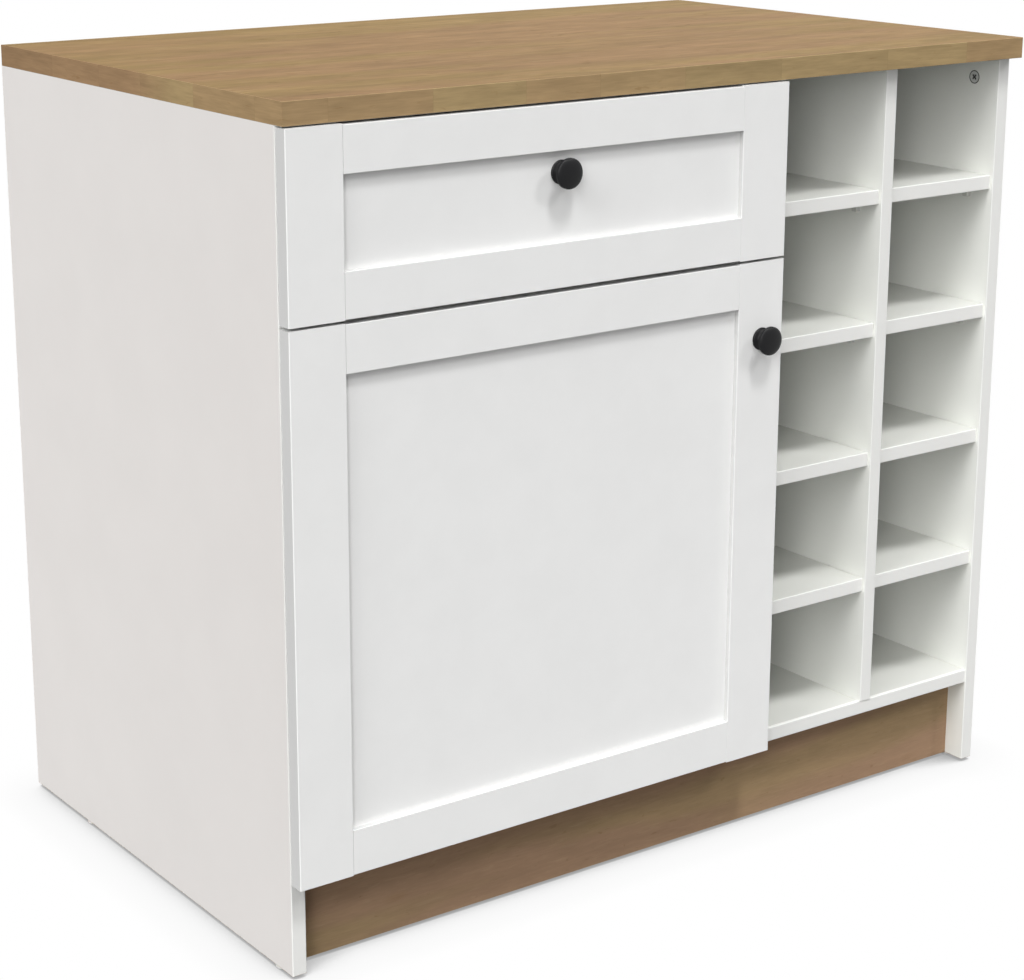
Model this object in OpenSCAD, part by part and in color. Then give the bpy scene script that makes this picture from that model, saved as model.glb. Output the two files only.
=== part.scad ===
// Kitchen storage cabinet: a base unit with a drawer and a door beside an open bottle rack.
// X runs along the front, Y from the front to the back, Z up. The floor is at Z = 0.
// Shapes are drawn with X = 0 on the left end, Y = 0 on the front edges of the boards,
// and placed() moves them so that the origin lies under the middle of the whole object.

/* [Carcass] */
// Thickness of the carcass boards
board_t = 16; // [15:0.5:18]
// Depth of the side panels
side_d = 575; // [540:5:640]
// Width of the drawer front and of the door
front_w = 600; // [540:5:700]
// Height of the underside of the bottom panel over the floor
bottom_z = 101; // [90:1:150]
// Height of the floor glides
glide_h = 4; // [3:0.5:8]
// Radius of the floor glides
glide_r = 8; // [5:0.5:8]
// Distance from the front edge to the front glides
glide_front = 31; // [20:1:60]
// Distance from the back edge to the rear glides
glide_rear = 130; // [60:5:200]
// Rounding of the edge bands on front edges
band_r = 1; // [0.5:0.1:2]
// Distance of the plinth behind the front edges
plinth_back = 26.5; // [20:0.5:70]
// Distance of the rear plinth from the back edges
rear_plinth_inset = 60; // [40:5:120]
// Distance of the bottom panel behind the front edges
bottom_back = 1; // [0:0.5:10]
// Depth of the rail under the drawer
rail_d = 90; // [60:5:140]
// Height of the rail's top over the gap between the door and the drawer front
rail_rise = 5.5; // [3:0.5:7]

/* [Back panels] */
// Thickness of the back panels
back_t = 3; // [2.5:0.5:5]
// Distance from the rear edges to the back panels
back_inset = 12; // [8:1:25]
// Depth of the grooves that hold the back panels
back_groove = 6; // [4:0.5:7]
// Play of a back panel at the ends of its grooves
back_play = 0.5; // [0.2:0.1:1]

/* [Bottle rack] */
// Clear width of one cell
cell_w = 156.5; // [110:0.5:200]
// Clear height of one cell
cell_h = 131.3; // [120:0.1:150]
// Distance of the shelves behind the front edges
shelf_back = 4.5; // [2:0.5:20]
// Play at each end of a shelf
shelf_play = 0.3; // [0.2:0.1:0.6]
// Gap between a shelf and the back panel
shelf_rear_gap = 2; // [1:0.5:10]

/* [Cupboard shelf] */
// Height of the shelf's underside over the bottom panel
cupboard_shelf_z = 248; // [200:1:340]
// Distance of the shelf behind the front edges
cupboard_shelf_back = 30; // [20:1:120]
// Spacing of the spare bores for the shelf supports
pin_pitch = 32; // [25:1:40]

/* [Shelf supports] */
// Radius of a support's pin
pin_r = 2.5; // [2:0.1:3]
// Length of a support's pin in its board
pin_l = 6.5; // [5:0.5:6.5]
// Width of a support
support_w = 7; // [6:0.5:14]
// Height of a support
support_h = 11.5; // [9:0.5:14]
// Distance that a support stands out of its board
support_out = 6; // [4:0.5:12]
// Distance from the front edges to the front supports
support_front = 36; // [30:1:60]
// Distance from the rear edges to the rear supports
support_rear = 90; // [60:1:160]

/* [Worktop] */
// Thickness of the worktop
top_t = 22.5; // [20:0.5:40]
// Overhang of the worktop at the left end
top_left = 0; // [0:1:10]
// Overhang of the worktop at the right end
top_right = 4; // [0:1:20]
// Overhang of the worktop at the front
top_front = 14; // [5:1:30]
// Overhang of the worktop at the back
top_back = 0; // [0:1:30]
// Rounding of the long edges of the worktop
top_r = 0.5; // [0.3:0.1:4]

/* [Fronts] */
// Thickness of the door and of the drawer front
front_t = 16; // [16:0.5:20]
// Gap between the carcass and the back of the fronts
door_gap = 2; // [1.8:0.1:2.5]
// Height of the drawer front
drawer_front_h = 180.5; // [170:0.5:200]
// Gap between the door and the drawer front
front_gap = 3; // [2:0.5:4]
// Gap between the drawer front and the worktop
top_gap = 1.5; // [1:0.5:4]
// Height of the door's lower edge over the underside of the bottom panel
door_bottom = 1; // [0:0.5:6]
// Width of the stiles
stile_w = 60.5; // [56:0.5:80]
// Width of the door rails
door_rail_w = 47.5; // [40:0.5:80]
// Width of the drawer rails
drawer_rail_w = 45.5; // [40:0.5:50]
// Distance that the rails' outer edges lie inside the stiles' ends
rail_inset = 0.8; // [0.2:0.1:3]
// Depth of the centre panels below the frame's face
recess = 6.2; // [4:0.1:7]
// Thickness of the centre panels
panel_t = 6; // [4:0.5:6]
// Depth of the grooves that hold the centre panels
groove_d = 8; // [6:0.5:9]
// Play of a centre panel at the bottom of its groove
panel_float = 1; // [0.5:0.5:2]
// Rounding of the outer front edges of the stiles
frame_r = 1; // [0.4:0.1:2]
// Rounding of the inner front edges of the stiles
joint_r = 0.3; // [0.2:0.1:1]
// Rounding of the front edges of the rails
rail_r = 0.4; // [0.2:0.1:1]
// Gap at each end of a rail between its shoulder and the stile
shoulder_gap = 0.3; // [0.1:0.1:0.5]

/* [Knobs] */
// Radius of a knob's base
knob_base_r = 12; // [9:0.5:14]
// Thickness of a knob's base
knob_base_t = 2.5; // [1.5:0.5:4]
// Radius of a knob's neck
knob_neck_r = 6.8; // [5:0.1:8]
// Radius of a knob's head
knob_head_r = 15.2; // [12:0.1:20]
// Distance from the base to the widest part of the head
knob_head_z = 15; // [13:0.5:24]
// Rise of the head's crown over its widest part
knob_crown = 4; // [2:0.5:8]
// Distance from the door's right edge to its knob
door_knob_x = 29; // [28:0.5:31]
// Distance from the door's top edge to its knob
door_knob_z = 82; // [60:1:300]
// Distance from the drawer front's left edge to its knob
drawer_knob_x = 311; // [280:1:330]
// Distance from the drawer front's top edge to its knob
drawer_knob_z = 67; // [64:1:100]
// Radius of the knob screws
knob_screw_r = 2; // [1.5:0.1:2.5]
// Length of a knob screw inside its knob
knob_screw_in = 9; // [6:0.5:11]
// Radius of a knob screw's head
screw_head_r = 4; // [3.5:0.1:4.5]
// Height of a knob screw's head
screw_head_h = 2.4; // [1.6:0.1:3]

/* [Drawer box] */
// Gap between a drawer side and the carcass, for the runner
runner_gap = 12.5; // [12.5:0.1:14]
// Height of the drawer box over the rail
drawer_lift = 10; // [9:0.5:14]
// Height of the drawer box
box_h = 120; // [90:1:125]
// Length of the drawer box
box_l = 500; // [450:5:505]
// Thickness of the drawer box boards
box_t = 12; // [12:0.5:16]
// Thickness of the drawer bottom
box_bottom_t = 3; // [2.5:0.5:5]
// Height of the drawer bottom over the lower edges of the box
box_bottom_z = 10; // [6:0.5:16]
// Depth of the grooves and housings in the drawer sides
housing = 5; // [3:0.5:6]
// Travel of the drawer
drawer_travel = 360; // [250:5:400]

/* [Roller runners] */
// Thickness of the runner steel
runner_t = 1.2; // [1:0.1:1.5]
// Radius of the runner rollers
roller_r = 8.3; // [7.5:0.1:8.5]
// Width of the runner rollers
roller_w = 6.5; // [5:0.5:6.5]
// Running gap round the rollers
roller_play = 0.15; // [0.1:0.05:0.3]
// Radius of the roller axles
axle_r = 2; // [1.5:0.1:3]
// Distance from the front edges to the cabinet rollers
roller_front = 28; // [20:1:40]
// Height of the running flange over the lower edge of the drawer side
flange_rise = 10; // [9:0.5:12]

/* [Fittings] */
// Diameter of a cam
cam_d = 15; // [13:0.5:17]
// Height of a cam
cam_h = 12.5; // [12:0.1:13]
// Distance from a board's end to the centre of its cams
cam_edge = 24.5; // [22:0.5:34]
// Distance from the front edges to the front cams
cam_front = 36; // [30:1:60]
// Distance from the rear edges to the rear cams
cam_rear = 66; // [50:1:120]
// Diameter of the dowels
dowel_d = 8; // [6:0.5:8]
// Length of the dowels
dowel_l = 30; // [25:1:35]
// Distance from the front edges to the front dowels
dowel_front = 68; // [60:1:76]
// Distance from the rear edges to the rear dowels
dowel_rear = 105; // [95:1:140]
// Length of a connecting screw
screw_l = 50; // [40:1:60]
// Distance from the front edges to the front connecting screws
screw_front = 110; // [95:1:160]
// Distance from the rear edges to the rear connecting screws
screw_rear = 150; // [130:1:200]
// Radius of the buffers behind the fronts
buffer_r = 4; // [3:0.5:5]
// Air left between a buffer and the carcass
buffer_air = 0.3; // [0.1:0.1:0.6]
// Distance from a front's edges to the buffers
buffer_in = 8; // [7:0.5:9]

/* [Hinges] */
// Radius of the hinge cups
cup_r = 17.5; // [17.5:0.1:18]
// Depth of the hinge cups
cup_d = 11.5; // [11:0.1:12]
// Wall of the hinge cups
cup_wall = 0.8; // [0.6:0.1:1]
// Distance from the door's edge to the centre of a cup
cup_x = 21.5; // [21.5:0.1:22.5]
// Thickness of the cup's rim plate on the door
rim_t = 1; // [0.8:0.1:1.2]
// Distance from the door's ends to the hinges
hinge_end = 98; // [80:1:140]
// Distance from the left end to the pivot in the arm
arm_pivot_x = 26; // [25.5:0.1:26.5]
// Distance from the front edges back to the pivot in the arm
arm_pivot_y = 2; // [1.8:0.1:2.2]
// Distance from the door's edge to the pivot in the cup
cup_pivot_x = 8.6; // [8.4:0.1:9]
// Depth of the pivot in the cup below the door's back
cup_pivot_y = 2.6; // [2.5:0.1:3]
// Radius of the hinge pivots
pivot_r = 1.3; // [1:0.1:1.5]
// Running gap round a pivot
pivot_play = 0.1; // [0.05:0.05:0.2]
// Thickness of a link
link_t = 1.6; // [1.2:0.1:1.8]
// Width of a link
link_w = 10; // [8:0.5:11]
// Bow of a link towards the door
link_bow = 2.2; // [1.8:0.1:2.6]
// Distance from the front edges to the screws of the hinge plates
plate_y = 37; // [37:0.5:40]

/* [Hidden] */
$fn = 48;

// Rows and columns of the bottle rack
rack_rows = 5;
rack_cols = 2;

// Heights
bottom_top = bottom_z + board_t;
carcass_top = bottom_top + rack_rows * cell_h + (rack_rows - 1) * board_t;
drawer_z1 = carcass_top - top_gap;
drawer_z0 = drawer_z1 - drawer_front_h;
door_z1 = drawer_z0 - front_gap;
door_z0 = bottom_z + door_bottom;
rail_top = drawer_z0 + rail_rise;
box_z = rail_top + drawer_lift;

// Places along the front
partition_x = front_w - board_t;
cell_pitch = cell_w + board_t;
divider_x = front_w + cell_w;
right_x = front_w + rack_cols * cell_pitch - board_t;
cab_w = right_x + board_t;
cupboard_mid = (board_t + partition_x) / 2;

// Places from front to back
front_back_y = -door_gap;
front_face_y = front_back_y - front_t;
recess_y = front_face_y + recess;
panel_back_y = recess_y + panel_t;
back_y = side_d - back_inset - back_t;
knob_out = knob_head_z + knob_crown;

// Middle of the whole object, over the floor
middle = [
    (cab_w + top_right - top_left) / 2,
    (side_d + top_back + front_face_y - knob_out) / 2,
    0
];

// Colours
c_board = [0.87, 0.85, 0.82];
c_front = [0.89, 0.89, 0.88];
c_oak = [0.68, 0.55, 0.39];
c_plinth = [0.51, 0.42, 0.31];
c_knob = [0.15, 0.15, 0.16];
c_steel = [0.72, 0.73, 0.75];
c_runner = [0.93, 0.93, 0.92];
c_plastic = [0.85, 0.85, 0.84];
c_beech = [0.80, 0.66, 0.46];
c_hardboard = [0.90, 0.89, 0.86];

// Small cut that carries a hole through a face
through = 1;

module placed() {
    translate(-middle) children();
}

// Shapes that several pieces use

// Section of a board whose front corners are rounded: X is its depth and Y its thickness
module edged_section(depth, thickness, r) {
    translate([r, 0]) square([depth - r, thickness]);
    translate([0, r]) square([depth, thickness - 2 * r]);
    for (v = [r, thickness - r]) translate([r, v]) circle(r);
}

// Upright board from its lower left front corner
module upright(x, y, z, thickness, depth, height, r = band_r) {
    translate([x + thickness, y, z]) rotate([0, 0, 90])
        linear_extrude(height) edged_section(depth, thickness, r);
}

// Level board from its lower left front corner
module level(x, y, z, width, depth, thickness, r = band_r) {
    translate([x, y, z]) rotate([90, 0, 90])
        linear_extrude(width) edged_section(depth, thickness, r);
}

// Section of a board whose broad face is the X axis, with its own rounding at each front corner
module facing_section(width, thickness, r0, r1) {
    translate([0, r0]) square([width / 2, thickness - r0]);
    translate([width / 2, r1]) square([width / 2, thickness - r1]);
    translate([r0, 0]) square([width - r0 - r1, thickness]);
    translate([r0, r0]) circle(r0);
    translate([width - r1, r1]) circle(r1);
}

// Mirror image across the middle of the cupboard
module other_side() {
    translate([2 * cupboard_mid, 0, 0]) mirror([1, 0, 0]) children();
}

// Joints between boards. A joint is [place on the face, tilt about Y, turn about its own axis].
// Its own Z axis points into the board whose face is bored.

top_joint_y = [dowel_front, side_d - dowel_rear];
plinth_mids = [plinth_back + board_t / 2, side_d - rear_plinth_inset - board_t / 2];
bottom_mid_z = bottom_z + board_t / 2;
rail_mid_z = rail_top - board_t / 2;
plinth_joint_in = 24;
plinth_joint_z = [glide_h + plinth_joint_in, bottom_z - plinth_joint_in];

top_dowels = [
    for (x = [0, partition_x, divider_x, right_x]) for (y = top_joint_y)
        [[x + board_t / 2, y, carcass_top], 0]
];
foot_dowels = [
    for (x = [partition_x, divider_x]) for (y = top_joint_y)
        [[x + board_t / 2, y, bottom_top], 180]
];
end_dowels = [
    for (y = top_joint_y) each [
        [[board_t, y, bottom_mid_z], -90],
        [[right_x, y, bottom_mid_z], 90]
    ]
];
rail_dowels = [
    for (y = [rail_d / 4, rail_d * 3 / 4]) each [
        [[board_t, y, rail_mid_z], -90],
        [[partition_x, y, rail_mid_z], 90]
    ]
];
plinth_dowels = [
    for (y = plinth_mids) for (z = plinth_joint_z) each [
        [[board_t, y, z], -90],
        [[right_x, y, z], 90]
    ]
];
all_dowels = concat(top_dowels, foot_dowels, end_dowels, rail_dowels, plinth_dowels);

// Wood left behind a dowel in a board's face, and air at both ends of its bore
dowel_cover = 4;
dowel_in_face = board_t - dowel_cover;
dowel_air = 1;

module dowel_at(joint, air = 0) {
    translate(joint[0]) rotate([0, joint[1], 0])
        translate([0, 0, dowel_in_face - dowel_l - air])
            cylinder(d = dowel_d, h = dowel_l + 2 * air);
}

module dowel_bores(joints) {
    for (joint = joints) dowel_at(joint, dowel_air);
}

// Cam joints: [place on the face, tilt about Y, turn about its own axis]
cam_y = [cam_front, side_d - cam_rear];
top_cams = [
    for (y = cam_y) each [
        [[board_t / 2, y, carcass_top], 0, 0],
        [[partition_x + board_t / 2, y, carcass_top], 0, 180],
        [[right_x + board_t / 2, y, carcass_top], 0, 180]
    ]
];
bottom_cams = [
    for (y = cam_y) each [
        [[board_t, y, bottom_mid_z], -90, 180],
        [[right_x, y, bottom_mid_z], 90, 0]
    ]
];
all_cams = concat(top_cams, bottom_cams);

// Inner sizes of the cam fittings
cam_play = 0.2;
bolt_r = 2.5;
bolt_in = 11;
shank_r = 3;
bolt_bore_r = 3.5;
neck_r = 1.8;
head_l = 4;
neck_l = 6;
cross_w = 1.6;
cross_l = 7;
cross_d = 2;

module cam_place(joint) {
    translate(joint[0]) rotate([0, joint[1], 0]) rotate([0, 0, joint[2]]) children();
}

// The cam lies across the board, with its slotted face flush with the board's face
module cam() {
    difference() {
        translate([board_t / 2 - cam_h, 0, -cam_edge]) rotate([0, 90, 0])
            cylinder(d = cam_d, h = cam_h);
        translate([0, 0, -cam_edge - head_l]) cylinder(r = bolt_bore_r, h = cam_edge);
        for (turn = [45, 135]) translate([board_t / 2, 0, -cam_edge]) rotate([turn, 0, 0])
            translate([-cross_d / 2 + through / 2, 0, 0])
                cube([cross_d + through, cross_w, cross_l], center = true);
    }
}

module cam_bolt() {
    rotate_extrude() polygon([
        [0, bolt_in], [bolt_r, bolt_in], [bolt_r, 0], [shank_r, 0],
        [shank_r, head_l / 2 + neck_l - cam_edge], [neck_r, head_l / 2 + neck_l - cam_edge],
        [neck_r, head_l / 2 - cam_edge], [shank_r, head_l / 2 - cam_edge],
        [shank_r, -head_l / 2 - cam_edge], [0, -head_l / 2 - cam_edge]
    ]);
}

// Bores in the board that carries the cams
module cam_bores(joints) {
    for (joint = joints) cam_place(joint) {
        translate([board_t / 2 - cam_h - cam_play, 0, -cam_edge]) rotate([0, 90, 0])
            cylinder(d = cam_d + cam_play, h = cam_h + cam_play + through);
        translate([0, 0, -cam_edge]) cylinder(r = bolt_bore_r, h = cam_edge + through);
    }
}

// Bores for the bolts in the board that they are screwed into
module bolt_bores(joints) {
    for (joint = joints) cam_place(joint)
        translate([0, 0, -through]) cylinder(r = bolt_r, h = bolt_in + cam_play + through);
}

// Connecting screws go up through the bottom panel into the partition and the divider
screw_places = [
    for (x = [partition_x, divider_x]) for (y = [screw_front, side_d - screw_rear])
        [x + board_t / 2, y, bottom_z]
];
screw_head = 5;
screw_shank = 3.5;
screw_core = 2.5;
screw_cone = 4;
screw_rim = 1;
screw_drive = 4;
screw_tip = 3;

module connecting_screw(drive = true) {
    difference() {
        rotate_extrude() polygon([
            [0, 0], [screw_head, 0], [screw_head, screw_rim], [screw_shank, screw_cone],
            [screw_shank, board_t - screw_cone], [screw_core, board_t - screw_cone],
            [screw_core, screw_l - screw_tip], [0, screw_l]
        ]);
        if (drive) translate([0, 0, -through])
            cylinder(d = screw_drive, h = screw_cone - screw_rim + through, $fn = 6);
    }
}

module connecting_bores() {
    for (place = screw_places) translate(place) connecting_screw(drive = false);
}

// Shelf supports: [place of the pin on the board's face, side that the support points to]
function level_z(row) = bottom_top + row * (cell_h + board_t) - board_t;
support_y = [support_front, side_d - support_rear];
shelf_levels = [for (row = [1 : rack_rows - 1]) level_z(row)];
inner_shelf_z = bottom_top + cupboard_shelf_z;

rack_supports = [
    for (col = [0 : rack_cols - 1]) for (z = shelf_levels) for (y = support_y) each [
        [[front_w + col * cell_pitch, y, z], 1],
        [[front_w + col * cell_pitch + cell_w, y, z], -1]
    ]
];
cupboard_supports = [
    for (y = support_y) each [
        [[board_t, y, inner_shelf_z], 1],
        [[partition_x, y, inner_shelf_z], -1]
    ]
];
spare_steps = [for (step = [-3 : 3]) if (step != 0) step];
spare_supports = [
    for (step = spare_steps) for (y = support_y) each [
        [[board_t, y, inner_shelf_z + step * pin_pitch], 1],
        [[partition_x, y, inner_shelf_z + step * pin_pitch], -1]
    ]
];
pin_air = 0.5;
support_edge = 1;

module support_place(support) {
    translate(support[0]) rotate([0, 0, support[1] > 0 ? 0 : 180]) children();
}

module shelf_support() {
    translate([-pin_l, 0, -support_h / 2]) rotate([0, 90, 0]) cylinder(r = pin_r, h = pin_l);
    translate([support_out, -support_w / 2, -support_h]) rotate([0, -90, 0])
        linear_extrude(support_out) {
            translate([0, support_edge]) square([support_h, support_w - 2 * support_edge]);
            translate([support_edge, 0]) square([support_h - support_edge, support_w]);
            for (v = [support_edge, support_w - support_edge])
                translate([support_edge, v]) circle(support_edge);
        }
}

module support_bores(supports) {
    for (support = supports) support_place(support)
        translate([-pin_l - pin_air, 0, -support_h / 2]) rotate([0, 90, 0])
            cylinder(r = pin_r, h = pin_l + pin_air + through);
}

// Grooves for the back panels
back_z0 = bottom_z;
back_z1 = carcass_top - back_play;

module back_groove_at(x0, x1) {
    translate([x0 - back_groove, back_y, back_z0 - through])
        cube([x1 - x0 + 2 * back_groove, back_t, carcass_top - back_z0 + 2 * through]);
}

module back_panel(x0, x1) {
    translate([x0 - back_groove + back_play, back_y, back_z0])
        cube([x1 - x0 + 2 * (back_groove - back_play), back_t, back_z1 - back_z0]);
}

// Carcass

module worktop() {
    color(c_oak) placed() difference() {
        translate([-top_left, -top_front, carcass_top]) rotate([90, 0, 90])
            linear_extrude(top_left + cab_w + top_right)
                edged_section(top_front + side_d + top_back, top_t, top_r);
        dowel_bores(top_dowels);
        bolt_bores(top_cams);
    }
}

module side_panel(x) {
    upright(x, 0, glide_h, board_t, side_d, carcass_top - glide_h);
}

module left_side_panel() {
    color(c_board) placed() difference() {
        side_panel(0);
        dowel_bores(concat(top_dowels, end_dowels, rail_dowels, plinth_dowels));
        cam_bores(top_cams);
        bolt_bores(bottom_cams);
        support_bores(concat(cupboard_supports, spare_supports));
        back_groove_at(board_t, partition_x);
        glide_nails();
        plate_screw_bores();
    }
}

module partition_panel() {
    color(c_board) placed() difference() {
        upright(partition_x, 0, bottom_top, board_t, side_d, carcass_top - bottom_top);
        dowel_bores(concat(top_dowels, foot_dowels, rail_dowels));
        cam_bores(top_cams);
        connecting_bores();
        support_bores(concat(cupboard_supports, spare_supports, rack_supports));
        back_groove_at(board_t, partition_x);
        back_groove_at(front_w, right_x);
    }
}

module right_side_panel() {
    color(c_board) placed() difference() {
        side_panel(right_x);
        dowel_bores(concat(top_dowels, end_dowels, plinth_dowels));
        cam_bores(top_cams);
        bolt_bores(bottom_cams);
        support_bores(rack_supports);
        back_groove_at(front_w, right_x);
        glide_nails();
    }
}

module rack_divider() {
    color(c_board) placed() difference() {
        upright(divider_x, 0, bottom_top, board_t, back_y, carcass_top - bottom_top);
        dowel_bores(concat(top_dowels, foot_dowels));
        connecting_bores();
        support_bores(rack_supports);
    }
}

module bottom_panel() {
    color(c_board) placed() difference() {
        level(board_t, bottom_back, bottom_z, right_x - board_t, back_y - bottom_back, board_t);
        dowel_bores(concat(foot_dowels, end_dowels));
        cam_bores(bottom_cams);
        connecting_bores();
    }
}

module drawer_rail() {
    color(c_board) placed() difference() {
        level(board_t, 0, rail_top - board_t, partition_x - board_t, rail_d, board_t);
        dowel_bores(rail_dowels);
    }
}

module plinth(y) {
    difference() {
        translate([board_t, y, glide_h]) cube([right_x - board_t, board_t, bottom_z - glide_h]);
        dowel_bores(plinth_dowels);
    }
}

module front_plinth() {
    color(c_plinth) placed() plinth(plinth_back);
}

module rear_plinth() {
    color(c_plinth) placed() plinth(side_d - rear_plinth_inset - board_t);
}

module cupboard_back() {
    color(c_hardboard) placed() back_panel(board_t, partition_x);
}

module rack_back() {
    color(c_hardboard) placed() back_panel(front_w, right_x);
}

module cupboard_shelf() {
    color(c_board) placed()
        level(board_t + shelf_play, cupboard_shelf_back, inner_shelf_z,
            partition_x - board_t - 2 * shelf_play,
            back_y - shelf_rear_gap - cupboard_shelf_back, board_t);
}

// Rack shelf number n, counted up the left column and then up the right column
module rack_shelf(n) {
    col = floor((n - 1) / (rack_rows - 1));
    row = (n - 1) % (rack_rows - 1) + 1;
    color(c_board) placed()
        level(front_w + col * cell_pitch + shelf_play, shelf_back, level_z(row),
            cell_w - 2 * shelf_play, back_y - shelf_rear_gap - shelf_back, board_t);
}

module shelf_supports() {
    color(c_plastic) placed() for (support = concat(rack_supports, cupboard_supports))
        support_place(support) shelf_support();
}

module cams() {
    color(c_steel) placed() for (joint = all_cams) cam_place(joint) cam();
}

module cam_bolts() {
    color(c_steel) placed() for (joint = all_cams) cam_place(joint) cam_bolt();
}

module dowels() {
    color(c_beech) placed() for (joint = all_dowels) dowel_at(joint);
}

module connecting_screws() {
    color(c_steel) placed() for (place = screw_places) translate(place) connecting_screw();
}

// Floor glides are nailed into the lower edges of the side panels
glide_places = [
    for (x = [0, right_x]) for (y = [glide_front, side_d - glide_rear]) [x + board_t / 2, y, 0]
];
glide_edge = 1;
nail_r = 1.25;
nail_l = 16;

module glide_nails() {
    for (place = glide_places) translate(place) cylinder(r = nail_r, h = glide_h + nail_l);
}

module floor_glides() {
    color(c_plastic) placed() for (place = glide_places) translate(place)
        rotate_extrude() polygon([
            [0, 0], [glide_r - glide_edge, 0], [glide_r, glide_edge], [glide_r, glide_h],
            [nail_r, glide_h], [nail_r, glide_h + nail_l], [0, glide_h + nail_l]
        ]);
}

// Framed fronts: two stiles and two rails hold a centre panel in their grooves

module stile(x, z0, z1, r0, r1) {
    translate([x, front_face_y, z0]) linear_extrude(z1 - z0)
        facing_section(stile_w, front_t, r0, r1);
}

// Groove in the inner edge of a stile, from its lower to its upper end
module stile_groove(x_inner, way, z0, z1) {
    translate([way > 0 ? x_inner - groove_d : x_inner - through, recess_y, z0 - through])
        cube([groove_d + through, panel_t, z1 - z0 + 2 * through]);
}

module left_stile(z0, z1) {
    difference() {
        stile(0, z0, z1, frame_r, joint_r);
        stile_groove(stile_w, 1, z0, z1);
    }
}

module right_stile(z0, z1) {
    difference() {
        stile(front_w - stile_w, z0, z1, joint_r, frame_r);
        stile_groove(front_w - stile_w, -1, z0, z1);
    }
}

// Rail between the stiles, with a tongue at each end; way is 1 if the panel lies above it
module rail(z0, z1, way) {
    groove_z = way > 0 ? z1 - groove_d : z0 - through;
    difference() {
        union() {
            translate([front_w - stile_w - shoulder_gap, front_face_y, z0]) rotate([0, -90, 0])
                linear_extrude(front_w - 2 * (stile_w + shoulder_gap))
                    facing_section(z1 - z0, front_t, rail_r, rail_r);
            translate([stile_w - groove_d + panel_float, recess_y, z0])
                cube([front_w - 2 * (stile_w - groove_d + panel_float), panel_t, z1 - z0]);
        }
        translate([stile_w - groove_d, recess_y, groove_z])
            cube([front_w - 2 * (stile_w - groove_d), panel_t, groove_d + through]);
    }
}

module bottom_rail_of(z0, width) {
    rail(z0 + rail_inset, z0 + width, 1);
}

module top_rail_of(z1, width) {
    rail(z1 - width, z1 - rail_inset, -1);
}

module centre_panel(z0, z1, rail_w) {
    reach = groove_d - panel_float;
    translate([stile_w - reach, recess_y, z0 + rail_w - reach])
        cube([front_w - 2 * (stile_w - reach), panel_t, z1 - z0 - 2 * (rail_w - reach)]);
}

// Knob on the axis of Z, standing on Z = 0; its outline is a base, a hollow neck and a low dome
neck_steps = 8;
crown_steps = 10;
base_foot_edge = 0.4;
base_top_edge = 0.8;
base_step = 1.5;
head_rim = 1.2;
head_lip = 0.8;
neck_rise = knob_head_z - head_rim - head_lip - knob_base_t;
// Share of the neck's height below its narrowest place
neck_low = 0.35;

function neck_point(i) =
    let (t = i / neck_steps, wide = t < neck_low ? knob_base_r - base_step : knob_head_r)
    let (from_neck = t < neck_low ? (neck_low - t) / neck_low : (t - neck_low) / (1 - neck_low))
    [knob_neck_r + (wide - knob_neck_r) * (1 - cos(90 * from_neck)),
        knob_base_t + t * neck_rise];

function crown_point(i) =
    let (angle = 90 * i / crown_steps)
    [knob_head_r * cos(angle), knob_head_z + knob_crown * sin(angle)];

knob_outline = concat(
    [[0, 0], [knob_base_r - base_foot_edge, 0], [knob_base_r, base_foot_edge],
        [knob_base_r, knob_base_t - base_top_edge], [knob_base_r - base_top_edge, knob_base_t]],
    [for (i = [0 : neck_steps]) neck_point(i)],
    [[knob_head_r, knob_head_z - head_rim]],
    [for (i = [0 : crown_steps]) crown_point(i)]
);

// Screw that comes from behind a front of the thickness given and ends inside the knob
module knob_screw(thickness) {
    translate([0, 0, -thickness]) cylinder(r = knob_screw_r, h = thickness + knob_screw_in);
    translate([0, 0, -thickness - screw_head_h]) cylinder(r = screw_head_r, h = screw_head_h);
}

knob_bore_air = 0.5;

module knob() {
    difference() {
        rotate_extrude() polygon(knob_outline);
        translate([0, 0, -through])
            cylinder(r = knob_screw_r, h = knob_screw_in + knob_bore_air + through);
    }
}

module door_knob_place() {
    translate([front_w - door_knob_x, front_face_y, door_z1 - door_knob_z])
        rotate([90, 0, 0]) children();
}

module drawer_knob_place() {
    translate([drawer_knob_x, recess_y, drawer_z1 - drawer_knob_z])
        rotate([90, 0, 0]) children();
}

// A door knob's screw head lies in a counterbore
counterbore = 3;
counterbore_air = 0.5;

// Domed buffer on the back of a front
buffer_steps = 6;

module buffer(place) {
    rise = door_gap - buffer_air;
    dome = [for (i = [0 : buffer_steps]) let (angle = 90 * i / buffer_steps)
        [buffer_r * cos(angle), rise * sin(angle)]];
    translate(place) rotate([-90, 0, 0]) rotate_extrude() polygon(concat([[0, 0]], dome));
}

// Door

module door_hinge_stile() {
    color(c_front) placed() difference() {
        left_stile(door_z0, door_z1);
        for (z = hinge_zs) translate([cup_x, front_back_y - cup_d, z])
            rotate([-90, 0, 0]) cylinder(r = cup_r, h = cup_d + through);
    }
}

module door_knob_stile() {
    color(c_front) placed() difference() {
        right_stile(door_z0, door_z1);
        door_knob_place() {
            translate([0, 0, -front_t - through])
                cylinder(r = knob_screw_r, h = front_t + 2 * through);
            translate([0, 0, -front_t - through])
                cylinder(r = screw_head_r + counterbore_air, h = counterbore + through);
        }
    }
}

module door_top_rail() {
    color(c_front) placed() top_rail_of(door_z1, door_rail_w);
}

module door_bottom_rail() {
    color(c_front) placed() bottom_rail_of(door_z0, door_rail_w);
}

module door_panel() {
    color(c_front) placed() centre_panel(door_z0, door_z1, door_rail_w);
}

module door_knob() {
    color(c_knob) placed() door_knob_place() knob();
}

module door_knob_screw() {
    color(c_steel) placed() door_knob_place() knob_screw(front_t - counterbore);
}

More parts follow.
